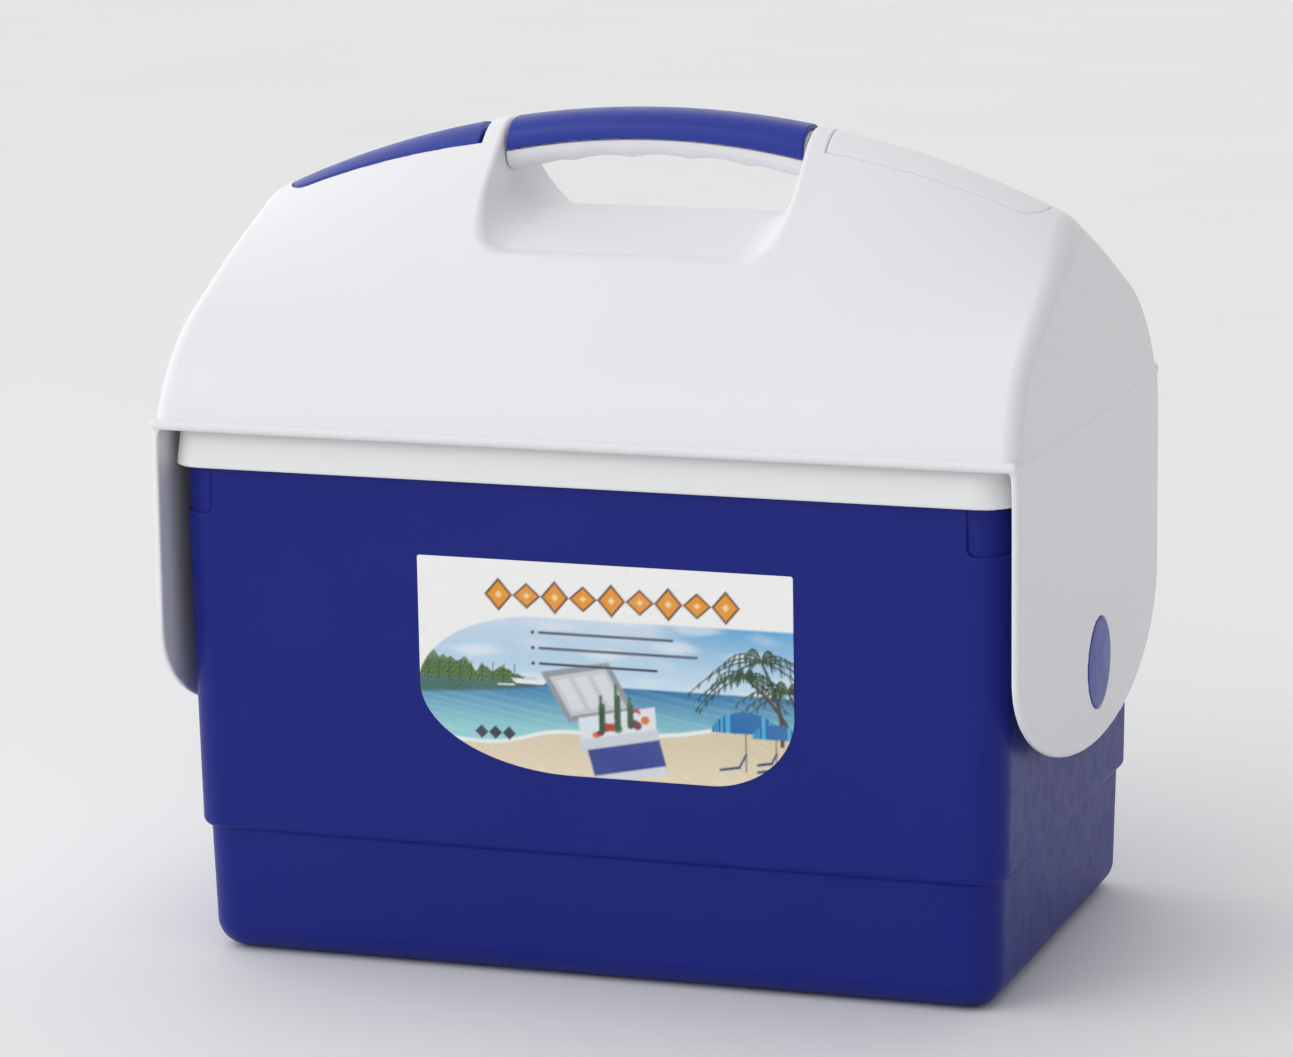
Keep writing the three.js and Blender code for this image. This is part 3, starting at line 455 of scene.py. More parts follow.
def pivot_cap(x, y, z):
    radius = swing_radius(y, z)
    face = CAP_HIGH[0] - CAP["dome"] * (radius / CAP_RADIUS) ** 2
    cap = both(radius - CAP_RADIUS, np.abs(x) - face, r=0.9)
    cap = np.maximum(cap, CAP_LOW[0] - np.abs(x))
    hollow = np.maximum(radius - CAP_RADIUS + CAP["wall"], np.abs(x) - CAP_HIGH[0] + CAP["skin"])
    return np.maximum(cap, -hollow)


# ---- Meshing ------------------------------------------------------------------------------


def grid_lines(runs, end):
    """Grid lines from (start, step) runs, up to end."""
    stops = [start for start, _ in runs[1:]] + [end]
    parts = []
    for (start, step), stop in zip(runs, stops):
        parts.append(np.linspace(start, stop, max(1, math.ceil((stop - start) / step)), endpoint=False))
    return np.append(np.concatenate(parts), end)


def mirrored(runs, end):
    half = grid_lines(runs, end)
    return np.concatenate([-half[:0:-1], half])


def sample(field, lines):
    """The field at every crossing of the grid lines, worked out in slabs."""
    xs, ys, zs = lines
    values = np.empty((len(xs), len(ys), len(zs)), np.float32)
    slab = max(1, 1_500_000 // (len(ys) * len(zs)))
    y, z = ys[None, :, None], zs[None, None, :]
    for start in range(0, len(xs), slab):
        x = xs[start : start + slab, None, None]
        values[start : start + slab] = field(x, y, z)
    return values


def gradient(field, points, step=0.04):
    slopes = np.empty_like(points)
    for d in range(3):
        shift = np.zeros(3)
        shift[d] = step
        slopes[:, d] = (field(*(points + shift).T) - field(*(points - shift).T)) / (2 * step)
    return slopes


def settle(field, points, rounds=2, reach=0.6):
    """Moves points onto the surface."""
    for _ in range(rounds):
        slopes = gradient(field, points)
        amount = field(*points.T) / np.maximum((slopes**2).sum(1), 0.3)
        points = points - np.clip(amount, -reach, reach)[:, None] * slopes
    return points


def net_edges(values, lines):
    """Where the surface crosses the grid lines, and the four cells round each crossing."""
    inside = values < 0
    cells = tuple(n - 1 for n in values.shape)
    crossings, quads = [], []
    for a in range(3):
        b, c = (a + 1) % 3, (a + 2) % 3
        low = [slice(None)] * 3
        high = [slice(None)] * 3
        low[a], high[a] = slice(0, -1), slice(1, None)
        at = np.argwhere(inside[tuple(low)] != inside[tuple(high)])
        there = at.copy()
        there[:, a] += 1
        v0 = values[tuple(at.T)].astype(float)
        v1 = values[tuple(there.T)].astype(float)
        point = np.stack([lines[d][at[:, d]] for d in range(3)], 1)
        point[:, a] += v0 / (v0 - v1) * (lines[a][there[:, a]] - lines[a][at[:, a]])
        ring = []
        for db, dc in ((-1, -1), (0, -1), (0, 0), (-1, 0)):
            cell = at.copy()
            cell[:, b] += db
            cell[:, c] += dc
            ring.append(np.ravel_multi_index(cell.T, cells))
        ring = np.stack(ring, 1)
        ring[v0 > 0] = ring[v0 > 0][:, ::-1]
        crossings.append(point)
        quads.append(ring)
    return np.concatenate(crossings), np.concatenate(quads), cells


def surface(field, xs, ys, zs):
    """Mesh of the field: one vertex for each cell that the surface crosses, kept on sharp edges."""
    lines = (xs, ys, zs)
    crossings, quads, cells = net_edges(sample(field, lines), lines)
    used, flat = np.unique(quads, return_inverse=True)
    quads = flat.reshape(quads.shape)
    normals = gradient(field, crossings)
    normals /= np.maximum(np.linalg.norm(normals, axis=1), 1e-9)[:, None]
    target = quads.ravel()
    total = len(used)

    def gather(weights):
        return np.bincount(target, np.repeat(weights, 4), total)

    count = gather(np.ones(len(crossings)))
    mean = np.stack([gather(crossings[:, d]) for d in range(3)], 1) / count[:, None]
    offset = (normals * crossings).sum(1)
    matrix = np.empty((total, 3, 3))
    vector = np.empty((total, 3))
    for i in range(3):
        vector[:, i] = gather(normals[:, i] * offset)
        for j in range(i, 3):
            matrix[:, i, j] = matrix[:, j, i] = gather(normals[:, i] * normals[:, j])
    vector -= np.einsum("nij,nj->ni", matrix, mean)
    matrix[:, range(3), range(3)] += 0.08 * count[:, None]
    points = mean + np.linalg.solve(matrix, vector[:, :, None])[:, :, 0]
    corner = np.unravel_index(used, cells)
    low = np.stack([lines[d][corner[d]] for d in range(3)], 1)
    high = np.stack([lines[d][corner[d] + 1] for d in range(3)], 1)
    points = settle(field, np.clip(points, low, high))
    normals = gradient(field, points)
    normals /= np.maximum(np.linalg.norm(normals, axis=1), 1e-9)[:, None]
    return points, quads, normals


def mesh_object(name, points, quads, normals=None):
    """Blender object from points in millimetres and four-sided faces."""
    mesh = bpy.data.meshes.new(name)
    mesh.vertices.add(len(points))
    mesh.vertices.foreach_set("co", (points * MM).astype(np.float32).ravel())
    mesh.loops.add(quads.size)
    mesh.loops.foreach_set("vertex_index", quads.astype(np.int32).ravel())
    mesh.polygons.add(len(quads))
    mesh.polygons.foreach_set("loop_start", np.arange(0, quads.size, 4, dtype=np.int32))
    mesh.polygons.foreach_set("use_smooth", np.ones(len(quads), bool))
    mesh.update(calc_edges=True)
    if normals is not None:
        mesh.normals_split_custom_set_from_vertices(normals.tolist())
    piece = bpy.data.objects.new(name, mesh)
    bpy.context.scene.collection.objects.link(piece)
    return piece


def moulding(name, field, lines, material, body, node):
    """A field's mesh, which stands for a CAD node and rides on its body."""
    piece = mesh_object(name, *surface(field, *lines))
    piece.data.materials.append(material)
    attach(piece, body)
    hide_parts(node)
    return piece


# ---- Materials ----------------------------------------------------------------------------


def srgb(red, green, blue):
    """Linear colour from 0-255 values."""
    shares = (red / 255, green / 255, blue / 255)
    return tuple(c / 12.92 if c <= 0.04045 else ((c + 0.055) / 1.055) ** 2.4 for c in shares) + (1.0,)


class Nodes:
    """Short way to write a material's nodes."""

    def __init__(self, name):
        self.material = bpy.data.materials.new(name)
        self.material.use_nodes = True
        self.tree = self.material.node_tree
        self.shader = self.tree.nodes["Principled BSDF"]

    def add(self, kind, inputs=None, **settings):
        node = self.tree.nodes.new("ShaderNode" + kind)
        for key, value in settings.items():
            setattr(node, key, value)
        for key, value in (inputs or {}).items():
            if isinstance(value, bpy.types.NodeSocket):
                self.tree.links.new(value, node.inputs[key])
            else:
                node.inputs[key].default_value = value
        return node

    def place(self):
        return self.add("TexCoord").outputs["Object"]

    def noise(self, scale, detail=2.0, roughness=0.5):
        """Noise with features about scale millimetres wide."""
        inputs = {"Vector": self.place(), "Scale": 1 / (scale * MM), "Detail": detail, "Roughness": roughness}
        return self.add("TexNoise", inputs).outputs["Fac"]

    def spread(self, value, low, high, to_low, to_high):
        inputs = {"Value": value, "From Min": low, "From Max": high, "To Min": to_low, "To Max": to_high}
        return self.add("MapRange", inputs).outputs["Result"]

    def mix(self, share, a, b):
        node = self.add("Mix", data_type="RGBA")
        for socket, value in ((node.inputs[0], share), (node.inputs[6], a), (node.inputs[7], b)):
            if isinstance(value, bpy.types.NodeSocket):
                self.tree.links.new(value, socket)
            else:
                socket.default_value = value
        return node.outputs[2]

    def finish(self, color, roughness, height, depth, metallic=0.0):
        """Connects colour, roughness and a bump of depth millimetres."""
        bump = self.add("Bump", {"Height": height, "Distance": depth * MM, "Strength": 1.0})
        links = {"Base Color": color, "Roughness": roughness, "Normal": bump.outputs["Normal"]}
        for key, value in links.items():
            self.tree.links.new(value, self.shader.inputs[key])
        self.shader.inputs["Metallic"].default_value = metallic
        return self.material


def plastic(name, color, worn, rough=0.4, grain=0.5, depth=0.012, cloud=0.05, shine=0.5):
    """Moulded plastic: fine mould grain, faint clouding, scuffs, and paler worn edges."""
    n = Nodes(name)
    cloudy = n.spread(n.noise(55, 3), 0.3, 0.7, 0.0, cloud)
    base = n.mix(cloudy, color, worn)
    edge = n.spread(n.add("NewGeometry").outputs["Pointiness"], 0.52, 0.6, 0.0, 0.35)
    base = n.mix(edge, base, worn)
    scuff = n.spread(n.noise(9, 6, 0.65), 0.45, 0.75, rough - 0.03, rough + 0.08)
    n.shader.inputs["Specular IOR Level"].default_value = shine
    return n.finish(base, scuff, n.noise(grain, 2), depth)


def foam(name, color, dark):
    n = Nodes(name)
    cells = n.add("TexVoronoi", {"Vector": n.place(), "Scale": 1 / (1.6 * MM)}).outputs["Distance"]
    base = n.mix(n.spread(cells, 0.0, 0.6, 0.0, 0.5), color, dark)
    return n.finish(base, n.spread(n.noise(3), 0.3, 0.7, 0.85, 0.97), cells, 0.2)


def steel(name):
    n = Nodes(name)
    brushed = n.add("Mapping", {"Vector": n.place(), "Scale": (1.0, 12.0, 12.0)}).outputs["Vector"]
    lines = n.add("TexNoise", {"Vector": brushed, "Scale": 400.0, "Detail": 3.0}).outputs["Fac"]
    base = n.mix(n.spread(n.noise(4, 3), 0.35, 0.7, 0.0, 0.5), srgb(186, 188, 192), srgb(142, 144, 148))
    return n.finish(base, n.spread(lines, 0.3, 0.7, 0.25, 0.42), lines, 0.01, metallic=1.0)


def printed(name):
    """Coated print of the sticker, whose colours are held in the mesh."""
    n = Nodes(name)
    colors = n.add("Attribute", attribute_name="print").outputs["Color"]
    faded = n.mix(n.spread(n.noise(30, 3), 0.4, 0.8, 0.0, 0.06), colors, srgb(240, 240, 236))
    return n.finish(faded, n.spread(n.noise(12, 4), 0.3, 0.7, 0.24, 0.34), n.noise(1.2, 3), 0.01)


BLUE = plastic(
    "moulded_blue", srgb(20, 32, 126), srgb(60, 74, 165), rough=0.42, grain=0.45, depth=0.01, shine=0.2
)
TRIM_BLUE = plastic(
    "moulded_trim_blue", srgb(30, 50, 152), srgb(70, 92, 196), rough=0.36, grain=0.4, shine=0.35
)
WHITE = plastic("moulded_white", srgb(238, 238, 242), srgb(250, 250, 252), rough=0.42, grain=0.5)
LINING = plastic("moulded_lining", srgb(240, 241, 240), srgb(250, 250, 248), rough=0.48, grain=0.6)
FOAM = foam("insulating_foam", srgb(236, 226, 188), srgb(206, 190, 140))
STEEL = steel("plated_steel")
PRINT = printed("sticker_print")


# ---- Mouldings ----------------------------------------------------------------------------

FIELDS = {
    "outer_shell": (
        outer_shell,
        (
            mirrored([(0, 1.6), (14, 8), (178, 1.2)], 211),
            mirrored([(0, 1.6), (16, 8), (102, 1.2)], 134),
            grid_lines([(-3, 1.0), (19, 6), (54, 0.8), (68, 8), (124, 1.6), (164, 8), (214, 1.2)], 253),
        ),
        BLUE, "base", "blue_shell",
    ),
    "inner_liner": (
        inner_liner,
        (
            mirrored([(0, 8), (152, 1.5)], 214),
            mirrored([(0, 1.5)], 137),
            grid_lines([(20, 1.4), (48, 8), (236, 1.5)], 324),
        ),
        LINING, "base", "white_lining",
    ),
    "lid_shell": (
        lid_shell,
        (
            mirrored([(0, 6), (50, 2.0), (66, 1.4), (94, 2.4), (178, 0.8), (200, 1.6)], 223),
            mirrored([(0, 0.7), (15, 0.4), (20, 2.0), (70, 1.7)], 145),
            grid_lines([(100, 1.8), (258, 0.8), (272, 2.0), (340, 1.2)], 412),
        ),
        WHITE, "lid", "white_shell",
    ),
    "lid_liner": (
        lid_liner,
        (
            mirrored([(0, 8), (140, 1.2), (160, 8), (200, 1.5)], 219),
            mirrored([(0, 1.5)], 134),
            grid_lines([(240, 1.5)], 328),
        ),
        LINING, "lid", "white_lining",
    ),
    "lid_foam": (
        lid_foam,
        (
            mirrored([(0, 8), (68, 1.6), (94, 6), (140, 1.6), (160, 6), (170, 1.6)], 218),
            mirrored([(0, 2.0)], 138),
            grid_lines([(258, 2.0)], 404),
        ),
        FOAM, "lid", "foam",
    ),
    "right_ridge_cover": (
        right_ridge_cover,
        (
            grid_lines([(86, 0.7), (92, 3), (178, 0.7)], 198),
            mirrored([(0, 0.8), (13, 0.4)], 21),
            grid_lines([(352, 0.9)], 404),
        ),
        WHITE, "lid", "white_shell",
    ),
    "push_button": (
        push_button,
        (
            grid_lines([(-197, 0.6), (-176, 2), (-108, 0.7)], -87),
            mirrored([(0, 0.8), (13, 0.4)], 21),
            grid_lines([(352, 0.7)], 404),
        ),
        TRIM_BLUE, "button", "blue_trim",
    ),
    "handle_grip": (
        handle_grip,
        (
            mirrored([(0, 2), (72, 0.6)], 79),
            mirrored([(0, 0.8)], 20),
            grid_lines([(382, 0.8)], 411),
        ),
        TRIM_BLUE, "lid", "blue_trim",
    ),
    "handle_underside": (
        handle_underside,
        (
            mirrored([(0, 1.5)], 79),
            mirrored([(0, 0.9)], 18),
            grid_lines([(372, 0.9)], 408),
        ),
        WHITE, "lid", "white_shell",
    ),
}

for node, (field, lines, material, body, slot) in FIELDS.items():
    moulding(node + "_look", field, lines, material, body, node)

for side, sign in (("left", -1), ("right", 1)):
    across = grid_lines([(211, 0.6)], 223)
    across = across if sign > 0 else -across[::-1]
    lines = (across, mirrored([(0, 0.9)], 25), mirrored([(0, 0.9)], 25) + PIVOT_Z)
    moulding(f"pivot_cap_{side}_look", pivot_cap, lines, TRIM_BLUE, "lid", f"pivot_cap_{side}")


def spring_path(t):
    """Point on the coil at t from 0 to 1; the end coils lie closer together."""
    turn = 2 * np.pi * SPRING["turns"] * t
    rise = 0.35 * t + 0.65 * t * t * (3 - 2 * t)
    z = SPRING["low"] + (SPRING["high"] - SPRING["low"]) * rise
    radius = SPRING["radius"]
    return np.stack([SPRING["x"] + radius * np.cos(turn), radius * np.sin(turn), z], -1)


def make_spring():
    rings, sides = 40 * SPRING["turns"] + 1, 8
    t = np.linspace(0, 1, rings)
    middle = spring_path(t)
    ahead = spring_path(t + 0.001) - spring_path(t - 0.001)
    ahead /= np.linalg.norm(ahead, axis=1)[:, None]
    outward = (middle - np.array([SPRING["x"], 0, 0])) * (1, 1, 0) / SPRING["radius"]
    side = np.cross(ahead, outward)
    turn = 2 * np.pi * np.arange(sides) / sides
    normals = outward[:, None] * np.cos(turn)[:, None] + side[:, None] * np.sin(turn)[:, None]
    points = (middle[:, None] + SPRING["wire"] * normals).reshape(-1, 3)
    here = np.arange(sides)
    ring = np.stack([here, (here + 1) % sides, (here + 1) % sides + sides, here + sides], 1)
    quads = (ring[None] + sides * np.arange(rings - 1)[:, None, None]).reshape(-1, 4)
    cap = np.array([(0, 3, 2, 1), (0, 7, 4, 3), (4, 7, 6, 5)])
    last = (rings - 1) * sides
    quads = np.concatenate([quads, cap, last + cap[:, ::-1]])
    piece = mesh_object("button_spring_look", points, quads)
    piece.data.materials.append(STEEL)
    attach(piece, "lid")
    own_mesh(piece)
    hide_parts("button_spring")


make_spring()


# ---- Sticker ------------------------------------------------------------------------------
# The drawing's places and sizes are in millimetres on the sticker.

LABEL = {"corners": ((78.0, 42.0), (42.0, 36.0)), "small": 1.2, "cell": 0.6, "thick": 0.35}


class Painter:
    """Lays colours over points (u, v) of the sticker, in millimetres."""

    def __init__(self, u, v, base):
        self.u, self.v = u, v
        self.color = np.tile(np.array(base), (len(u), 1))

    def fill(self, distance, color, soft=0.35):
        """Paints where distance is below zero; color is one colour or one for each point."""
        share = np.clip(0.5 - distance / (2 * soft), 0, 1)[:, None]
        self.color = self.color * (1 - share) + np.broadcast_to(color, self.color.shape) * share

    def line(self, u0, v0, u1, v1, width, color):
        du, dv = u1 - u0, v1 - v0
        t = np.clip(((self.u - u0) * du + (self.v - v0) * dv) / (du * du + dv * dv), 0, 1)
        self.fill(np.hypot(self.u - u0 - t * du, self.v - v0 - t * dv) - width / 2, color)

    def oval(self, u0, v0, half_u, half_v):
        return (np.hypot((self.u - u0) / half_u, (self.v - v0) / half_v) - 1) * min(half_u, half_v)

    def turned(self, u0, v0, grown, turn):
        """The same page for a drawing that is grown and turned about (u0, v0)."""
        near_u, near_v = self.u - u0, self.v - v0
        page = Painter(
            u0 + (near_u * math.cos(turn) + near_v * math.sin(turn)) / grown,
            v0 + (near_v * math.cos(turn) - near_u * math.sin(turn)) / grown,
            (0.0, 0.0, 0.0),
        )
        page.color = self.color
        return page


def ripple(u, seed, waves, reach):
    """Smooth random line made of sines, about one unit high."""
    random = np.random.default_rng(seed)
    total = np.zeros_like(u)
    for _ in range(waves):
        total += np.sin(u * random.uniform(0.2, 1.0) * 2 * np.pi / reach + random.uniform(0, 2 * np.pi))
    return total / math.sqrt(waves)


def rgb(*values):
    return np.array(srgb(*values)[:3])


def blend_rows(v, low, high, low_color, high_color):
    t = np.clip((v - low) / (high - low), 0, 1)[:, None]
    return low_color * (1 - t) + high_color * t


def paint_header(paint, left, right, middle):
    """Row of joined lozenges in place of a title."""
    count = 9
    step = (right - left) / count
    for i in range(count):
        centre = left + (i + 0.5) * step
        tall = 8.2 if i % 2 == 0 else 6.4
        shape = np.abs(paint.u - centre) / (0.5 * step) + np.abs(paint.v - middle) / tall - 1
        paint.fill(shape * 5, rgb(96, 58, 40))
        paint.fill(shape * 5 + 1.0, rgb(240, 156, 40))
        paint.fill(shape * 5 + 3.8, rgb(250, 222, 168))


def paint_sea(paint, floor, shore):
    u, v = paint.u, paint.v
    sky = blend_rows(v, shore + 24, shore + 58, rgb(214, 236, 248), rgb(86, 170, 222))
    cloud = np.clip(ripple(u + 2 * v, 3, 5, 40) * ripple(v * 2 - u * 0.3, 4, 4, 30), 0, 1)[:, None]
    paint.fill(np.full(len(u), -9.0), sky * (1 - 0.5 * cloud) + 0.5 * cloud)
    horizon = shore + 25
    sea = blend_rows(v, shore, horizon, rgb(150, 216, 220), rgb(20, 116, 176))
    glint = np.clip(ripple(u + 6 * v, 5, 6, 14), 0, 2)[:, None] * 0.06
    paint.fill(v - horizon, sea + glint, 0.5)
    edge = shore + 0.09 * (u - u.min()) - 7 + 1.2 * ripple(u, 6, 4, 50)
    foam_line = np.abs(v - edge) - 0.9
    sand = blend_rows(v, floor, shore, rgb(240, 226, 196), rgb(226, 212, 180))
    paint.fill(v - edge, sand + 0.015 * ripple(u * 3 + v * 5, 8, 5, 9)[:, None], 1.2)
    paint.fill(foam_line, rgb(246, 250, 250), 0.6)


def paint_bank(paint, left, right, low):
    """Wooded bank on the left, with its reflection."""
    u, v = paint.u, paint.v
    taper = np.clip((right - u) / (right - left), 0, 1) ** 0.6
    crowns = low + taper * (12 + 2.6 * ripple(u, 11, 6, 9) + 1.2 * ripple(u, 12, 6, 3.5))
    leaf = np.clip(0.5 + 0.4 * ripple(u * 2.2 + v, 13, 6, 5) * ripple(v * 2.6 - u, 14, 6, 5), 0, 1)[:, None]
    green = rgb(26, 62, 34) * (1 - leaf) + rgb(108, 148, 76) * leaf
    paint.fill(np.maximum(low - v, np.maximum(v - crowns, u - right)), green, 0.5)
    mirror = np.maximum(v - low, np.maximum(low - 7 * taper - v, u - right))
    paint.fill(mirror, 0.55 * green + 0.45 * rgb(40, 110, 130), 0.8)
    for trunk in np.linspace(left + 4, right - 14, 9):
        paint.line(trunk, low, trunk + 0.6, low + 9, 0.5, rgb(70, 60, 44))


def paint_palm(paint, foot_u, foot_v, top_u, top_v, reach, seed):
    """Leaning trunk and arched fronds with hanging leaflets."""
    dark, mid = rgb(22, 46, 30), rgb(58, 92, 48)
    for i in range(8):
        t0, t1 = i / 8, (i + 1) / 8
        bend0, bend1 = 3 * math.sin(math.pi * t0), 3 * math.sin(math.pi * t1)
        paint.line(
            foot_u + (top_u - foot_u) * t0 + bend0, foot_v + (top_v - foot_v) * t0,
            foot_u + (top_u - foot_u) * t1 + bend1, foot_v + (top_v - foot_v) * t1,
            2.0 - t0 * 0.8, rgb(74, 60, 44),
        )
    random = np.random.default_rng(seed)
    for turn in np.linspace(-0.3, math.pi + 0.3, 10):
        length = reach * random.uniform(0.75, 1.0)
        previous = (top_u, top_v)
        for i in range(1, 8):
            t = i / 7
            u = top_u + length * t * math.cos(turn)
            v = top_v + length * (0.62 * t * math.sin(turn) - 0.55 * t * t)
            paint.line(*previous, u, v, 0.9 - 0.5 * t, mid if i % 2 else dark)
            drop = 4.2 * (1 - 0.5 * t)
            paint.line(u, v, u + 0.8 * math.cos(turn), v - drop, 0.6, dark)
            paint.line(u, v, u + 2.0 * math.cos(turn) + 0.5, v - drop * 0.7, 0.5, mid)
            previous = (u, v)


def paint_umbrella(paint, u, v, half):
    """Beach umbrella with two low chairs."""
    paint.line(u, v - half * 1.1, u, v, 0.7, rgb(120, 110, 100))
    canopy = np.maximum(paint.oval(u, v - 0.5, half, half * 0.62), v - 0.5 - paint.v)
    panels = (np.abs(((paint.u - u) / half) ** 3) * 5 % 1 > 0.5)[:, None]
    paint.fill(canopy, np.where(panels, rgb(70, 180, 220), rgb(24, 112, 178)))
    for shift in (-0.75, 0.35):
        seat = u + shift * half
        knee = (seat + half * 0.55, v - half)
        paint.line(seat, v - half * 1.1, *knee, 1.3, rgb(40, 62, 110))
        paint.line(*knee, seat + half * 0.75, v - half * 0.62, 1.1, rgb(60, 84, 140))


def paint_boat(paint, u, v):
    hull = np.maximum(np.abs(paint.u - u) - 8 - (paint.v - v), np.abs(paint.v - v) - 1.3)
    paint.fill(hull, rgb(244, 246, 248))
    paint.line(u - 8, v - 1.4, u + 7, v - 1.6, 0.6, rgb(30, 60, 120))
    paint.line(u - 2, v + 1.6, u + 2.6, v + 1.8, 1.6, rgb(210, 218, 226))
    paint.line(u - 16, v - 2.0, u - 8, v - 1.8, 0.7, rgb(236, 246, 248))


def paint_chest(paint, u, v, seed):
    """Small open cooler with ice and drinks, turned to the right."""
    page = paint
    paint = page.turned(u, v, 1.45, 0.2)

    def leaning(left, right, low, high, tilt):
        up = paint.v - v
        across = paint.u - u + tilt * up
        return np.maximum(np.maximum(left - across, across - right), np.maximum(low - up, up - high))

    paint.fill(leaning(-14, 10, 4, 22, 0.32), rgb(150, 156, 164))
    paint.fill(leaning(-12, 8, 6, 20, 0.32), rgb(206, 210, 214))
    for i in range(3):
        paint.fill(leaning(-10.5 + 6.4 * i, -6 + 6.4 * i, 7.5, 18.5, 0.32), rgb(226, 229, 232))
    paint.fill(leaning(-12, 15, -4, 5, -0.12), rgb(232, 236, 240))
    random = np.random.default_rng(seed)
    tints = [rgb(190, 50, 40), rgb(226, 120, 40), rgb(70, 140, 60), rgb(120, 40, 60), rgb(240, 200, 90)]
    for i in range(26):
        spot = paint.oval(u + random.uniform(-9, 12), v + random.uniform(-2, 4.5), 1.5, 1.4)
        paint.fill(spot, tints[i % 5] if i % 2 else rgb(226, 240, 246))
    for at, tall in ((-4, 11), (1.5, 14), (6, 9)):
        paint.line(u + at, v, u + at + 0.14 * tall, v + tall * 0.7, 2.2, rgb(36, 84, 46))
        paint.line(u + at + 0.1 * tall, v + tall * 0.7, u + at + 0.16 * tall, v + tall, 1.0, rgb(60, 110, 60))
    paint.fill(leaning(-12.5, 15.5, -6.5, -2.5, -0.12), rgb(214, 220, 228))
    paint.fill(leaning(-11, 14.5, -16, -6, 0.06), rgb(40, 60, 150))
    paint.fill(leaning(-11, 14.5, -18, -15, 0.06), rgb(222, 226, 232))
    page.color = paint.color


def paint_label(u, v, low, high):
    """The whole print: title row, ruled lines, and a beach picture below a curved edge."""
    left, right = low[0], high[0]
    floor, top = low[1], high[1]
    paint = Painter(u, v, rgb(250, 250, 248))
    scene = Painter(u, v, rgb(255, 255, 255))
    paint_sea(scene, floor, floor + 20)
    paint_bank(scene, left, left + 62, floor + 44)
    paint_boat(scene, left + 56, floor + 45)
    paint_palm(scene, right - 6, floor + 22, right - 16, top - 42, 36, 21)
    paint_palm(scene, right + 1, floor + 24, right - 3, top - 56, 30, 22)
    paint_palm(scene, right - 1, floor + 26, right - 24, top - 50, 24, 24)
    paint_umbrella(scene, right - 24, floor + 27, 17)
    paint_umbrella(scene, right - 9, floor + 25, 12)
    paint_chest(scene, left + 98, floor + 25, 23)
    haze = np.clip((v - (top - 52)) / 30, 0, 1)[:, None] * np.clip((right - 50 - u) / 20, 0, 1)[:, None]
    scene.color = scene.color * (1 - 0.75 * haze) + 0.75 * haze
    header = top - 27
    arc_u, arc_v = left + 62, floor + 40
    bend = np.sqrt(np.clip(1 - np.clip((arc_u - u) / 63, 0, 1) ** 2, 0, 1))
    edge = np.where(u < arc_u, arc_v + (header - arc_v) * bend, header)
    paint.fill(v - edge, scene.color, 0.5)
    paint_header(paint, left + 34, right - 26, top - 17)
    for i in range(3):
        row = top - 34.5 - 7.6 * i
        start = left + 58
        paint.fill(paint.oval(start, row, 0.9, 0.9), rgb(60, 66, 78))
        paint.line(start + 3.5, row, start + (70, 82, 62)[i], row, 1.3, rgb(70, 78, 92))
    for i in range(3):
        spot = np.abs(u - left - 31 - 7 * i) + np.abs(v - floor - 19) - 3.4
        paint.fill(spot, rgb(52, 58, 70))
    return np.clip(paint.color, 0, 1)


def label_outline(u, v, low, high):
    """Distance outside the sticker's outline: two unlike oval corners below and small ones above."""
    centre = (low + high) / 2
    half = (high - low) / 2
    away = plan_box(u - centre[0], v - centre[1], half[0], half[1], LABEL["small"])
    for side, (wide, tall) in zip((-1, 1), LABEL["corners"]):
        across = np.maximum(side * (u - centre[0]) - half[0] + wide, 0)
        down = np.maximum(low[1] + tall - v, 0)
        away = np.maximum(away, (np.hypot(across / wide, down / tall) - 1) * tall)
    return away


def make_label():
    low = np.array([LABEL_LOW[0], LABEL_LOW[2]])
    high = np.array([LABEL_HIGH[0], LABEL_HIGH[2]])
    us = np.arange(low[0] - 1.2, high[0] + 1.2, LABEL["cell"])
    vs = np.arange(low[1] - 1.2, high[1] + 1.2, LABEL["cell"])
    u, v = (a.ravel() for a in np.meshgrid(us, vs, indexing="ij"))
    away = label_outline(u, v, low, high)
    corner = (np.arange(len(us) - 1)[:, None] * len(vs) + np.arange(len(vs) - 1)).ravel()
    quads = np.stack([corner, corner + len(vs), corner + len(vs) + 1, corner + 1], 1)
    quads = quads[(away[quads] < 0).any(1)]
    used, flat = np.unique(quads, return_inverse=True)
    quads = flat.reshape(quads.shape)
    u, v = u[used], v[used]
    for _ in range(3):
        away = label_outline(u, v, low, high)
        step = 0.05
        along_u = (label_outline(u + step, v, low, high) - label_outline(u - step, v, low, high)) / (2 * step)
        along_v = (label_outline(u, v + step, low, high) - label_outline(u, v - step, low, high)) / (2 * step)
        out = np.maximum(away, 0)
        u, v = u - out * along_u, v - out * along_v
    front = -(SHELL_HIGH[1] + UPPER_DRAFT * (v - SHELL_HIGH[2])) - GAP
    piece = mesh_object("front_label_look", np.stack([u, front, v], 1), quads)
    colors = np.ones((len(u), 4), np.float32)
    colors[:, :3] = paint_label(u, v, low, high)
    layer = piece.data.color_attributes.new("print", "FLOAT_COLOR", "POINT")
    layer.data.foreach_set("color", colors.ravel())
    skin = piece.modifiers.new("thickness", "SOLIDIFY")
    skin.thickness = LABEL["thick"] * MM
    skin.offset = -1.0
    piece.data.materials.append(PRINT)
    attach(piece, "base")
    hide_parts("front_label")


make_label()


# ---- Pieces that keep their CAD shape -----------------------------------------------------

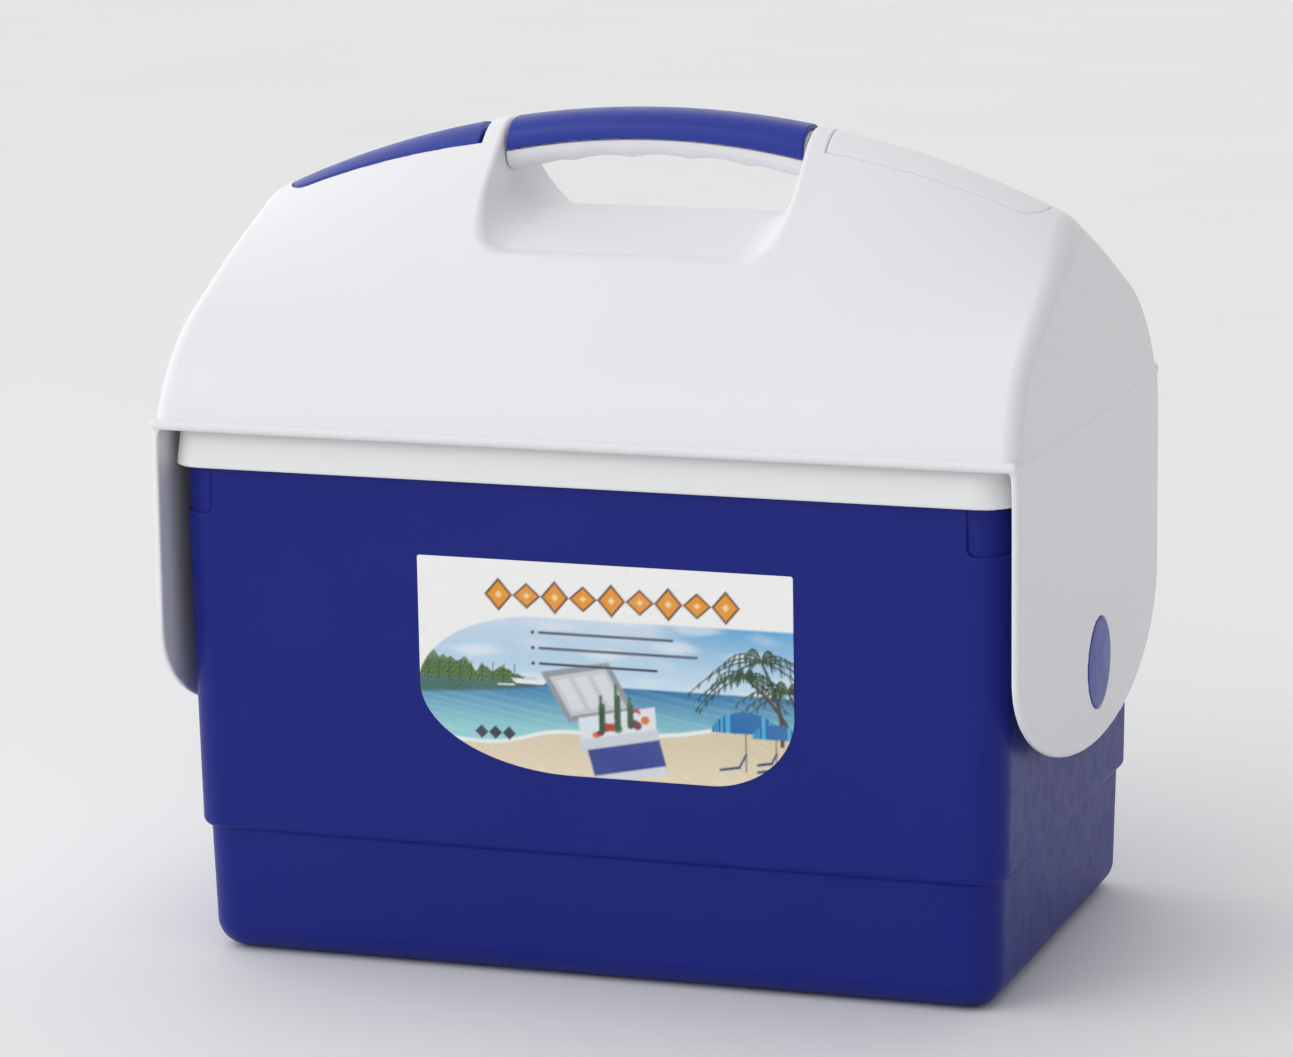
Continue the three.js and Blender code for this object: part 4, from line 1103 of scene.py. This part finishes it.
KEPT = {"body_foam": FOAM, "foam_plug": BLUE, "latch_lever": WHITE}
EDGE_ROUND = 0.25
for name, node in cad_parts.items():
    material = KEPT.get(name) or (LINING if name.startswith("pivot_stub") else STEEL)
    node.data.materials.clear()
    node.data.materials.append(material)
    if material is not FOAM:
        edge = node.modifiers.new("rounded_edges", "BEVEL")
        edge.width = EDGE_ROUND * MM
        edge.segments = 2
        edge.limit_method = "ANGLE"
        edge.angle_limit = math.radians(35)


# ---- Stage, light and camera --------------------------------------------------------------


def make_floor():
    mesh = bpy.data.meshes.new("floor")
    size = 30.0
    corners = [(size * x, size * y, 0) for x, y in ((-1, -1), (1, -1), (1, 1), (-1, 1))]
    mesh.from_pydata(corners, [], [(0, 1, 2, 3)])
    floor = bpy.data.objects.new("floor", mesh)
    bpy.context.scene.collection.objects.link(floor)
    n = Nodes("floor")
    shade = n.mix(n.spread(n.noise(400), 0.3, 0.7, 0.0, 0.4), srgb(244, 244, 245), srgb(238, 238, 240))
    mesh.materials.append(n.finish(shade, n.spread(n.noise(40), 0.3, 0.7, 0.7, 0.8), n.noise(6), 0.01))
    floor.location.z = -0.0005


def add_light(name, place, aim, size, power):
    light = bpy.data.lights.new(name, "AREA")
    light.energy = power
    light.shape = "RECTANGLE"
    light.size, light.size_y = size
    holder = bpy.data.objects.new(name, light)
    holder.location = place
    holder.rotation_euler = (Vector(aim) - Vector(place)).to_track_quat("-Z", "Y").to_euler()
    bpy.context.scene.collection.objects.link(holder)


# Brightness of the surroundings at the far left and at the far right.
WORLD = (1.4, 0.3)

CAMERA = {
    "focal": 5107.1, "azimuth": 18.17, "elevation": 11.30, "roll": -0.58, "distance": 2522.5,
    "target": (30.0, 0.0, 220.0), "centre": (725.8, 488.5),
}
PICTURE = (1293, 1057)


def make_camera():
    """Camera at the photograph's angle; focal length and centre are for the picture's own size."""
    azimuth, elevation, roll = (math.radians(CAMERA[k]) for k in ("azimuth", "elevation", "roll"))
    back = Vector((
        math.sin(azimuth) * math.cos(elevation), -math.cos(azimuth) * math.cos(elevation), math.sin(elevation)
    ))
    right = Vector((math.cos(azimuth), math.sin(azimuth), 0))
    up = back.cross(right)
    across = right * math.cos(roll) + up * math.sin(roll)
    along = up * math.cos(roll) - right * math.sin(roll)
    data = bpy.data.cameras.new("camera")
    data.sensor_width = 36.0
    data.lens = 36.0 * CAMERA["focal"] / PICTURE[0]
    data.shift_x = (PICTURE[0] / 2 - CAMERA["centre"][0]) / PICTURE[0]
    data.shift_y = (CAMERA["centre"][1] - PICTURE[1] / 2) / PICTURE[0]
    data.clip_start, data.clip_end = 0.1, 100.0
    camera = bpy.data.objects.new("camera", data)
    place = (Vector(CAMERA["target"]) + back * CAMERA["distance"]) * MM
    turn = Matrix((across, along, back)).transposed().to_4x4()
    camera.matrix_world = Matrix.Translation(place) @ turn
    bpy.context.scene.collection.objects.link(camera)
    bpy.context.scene.camera = camera


def make_world():
    """Even white surroundings that are brighter on the left and dimmer on the right."""
    world = bpy.data.worlds.new("studio")
    world.use_nodes = True
    nodes, links = world.node_tree.nodes, world.node_tree.links
    place = nodes.new("ShaderNodeTexCoord")
    split = nodes.new("ShaderNodeSeparateXYZ")
    ramp = nodes.new("ShaderNodeMapRange")
    links.new(place.outputs["Generated"], split.inputs["Vector"])
    links.new(split.outputs["X"], ramp.inputs["Value"])
    for key, value in (("From Min", -1.0), ("From Max", 1.0), ("To Min", WORLD[0]), ("To Max", WORLD[1])):
        ramp.inputs[key].default_value = value
    nodes["Background"].inputs["Color"].default_value = (1.0, 1.0, 1.0, 1.0)
    links.new(ramp.outputs["Result"], nodes["Background"].inputs["Strength"])
    bpy.context.scene.world = world


make_floor()
add_light("key", (-1.6, -2.2, 2.4), (0, 0, 0.25), (1.6, 1.6), 10)
make_world()
bpy.context.scene.view_settings.view_transform = "Standard"
make_camera()
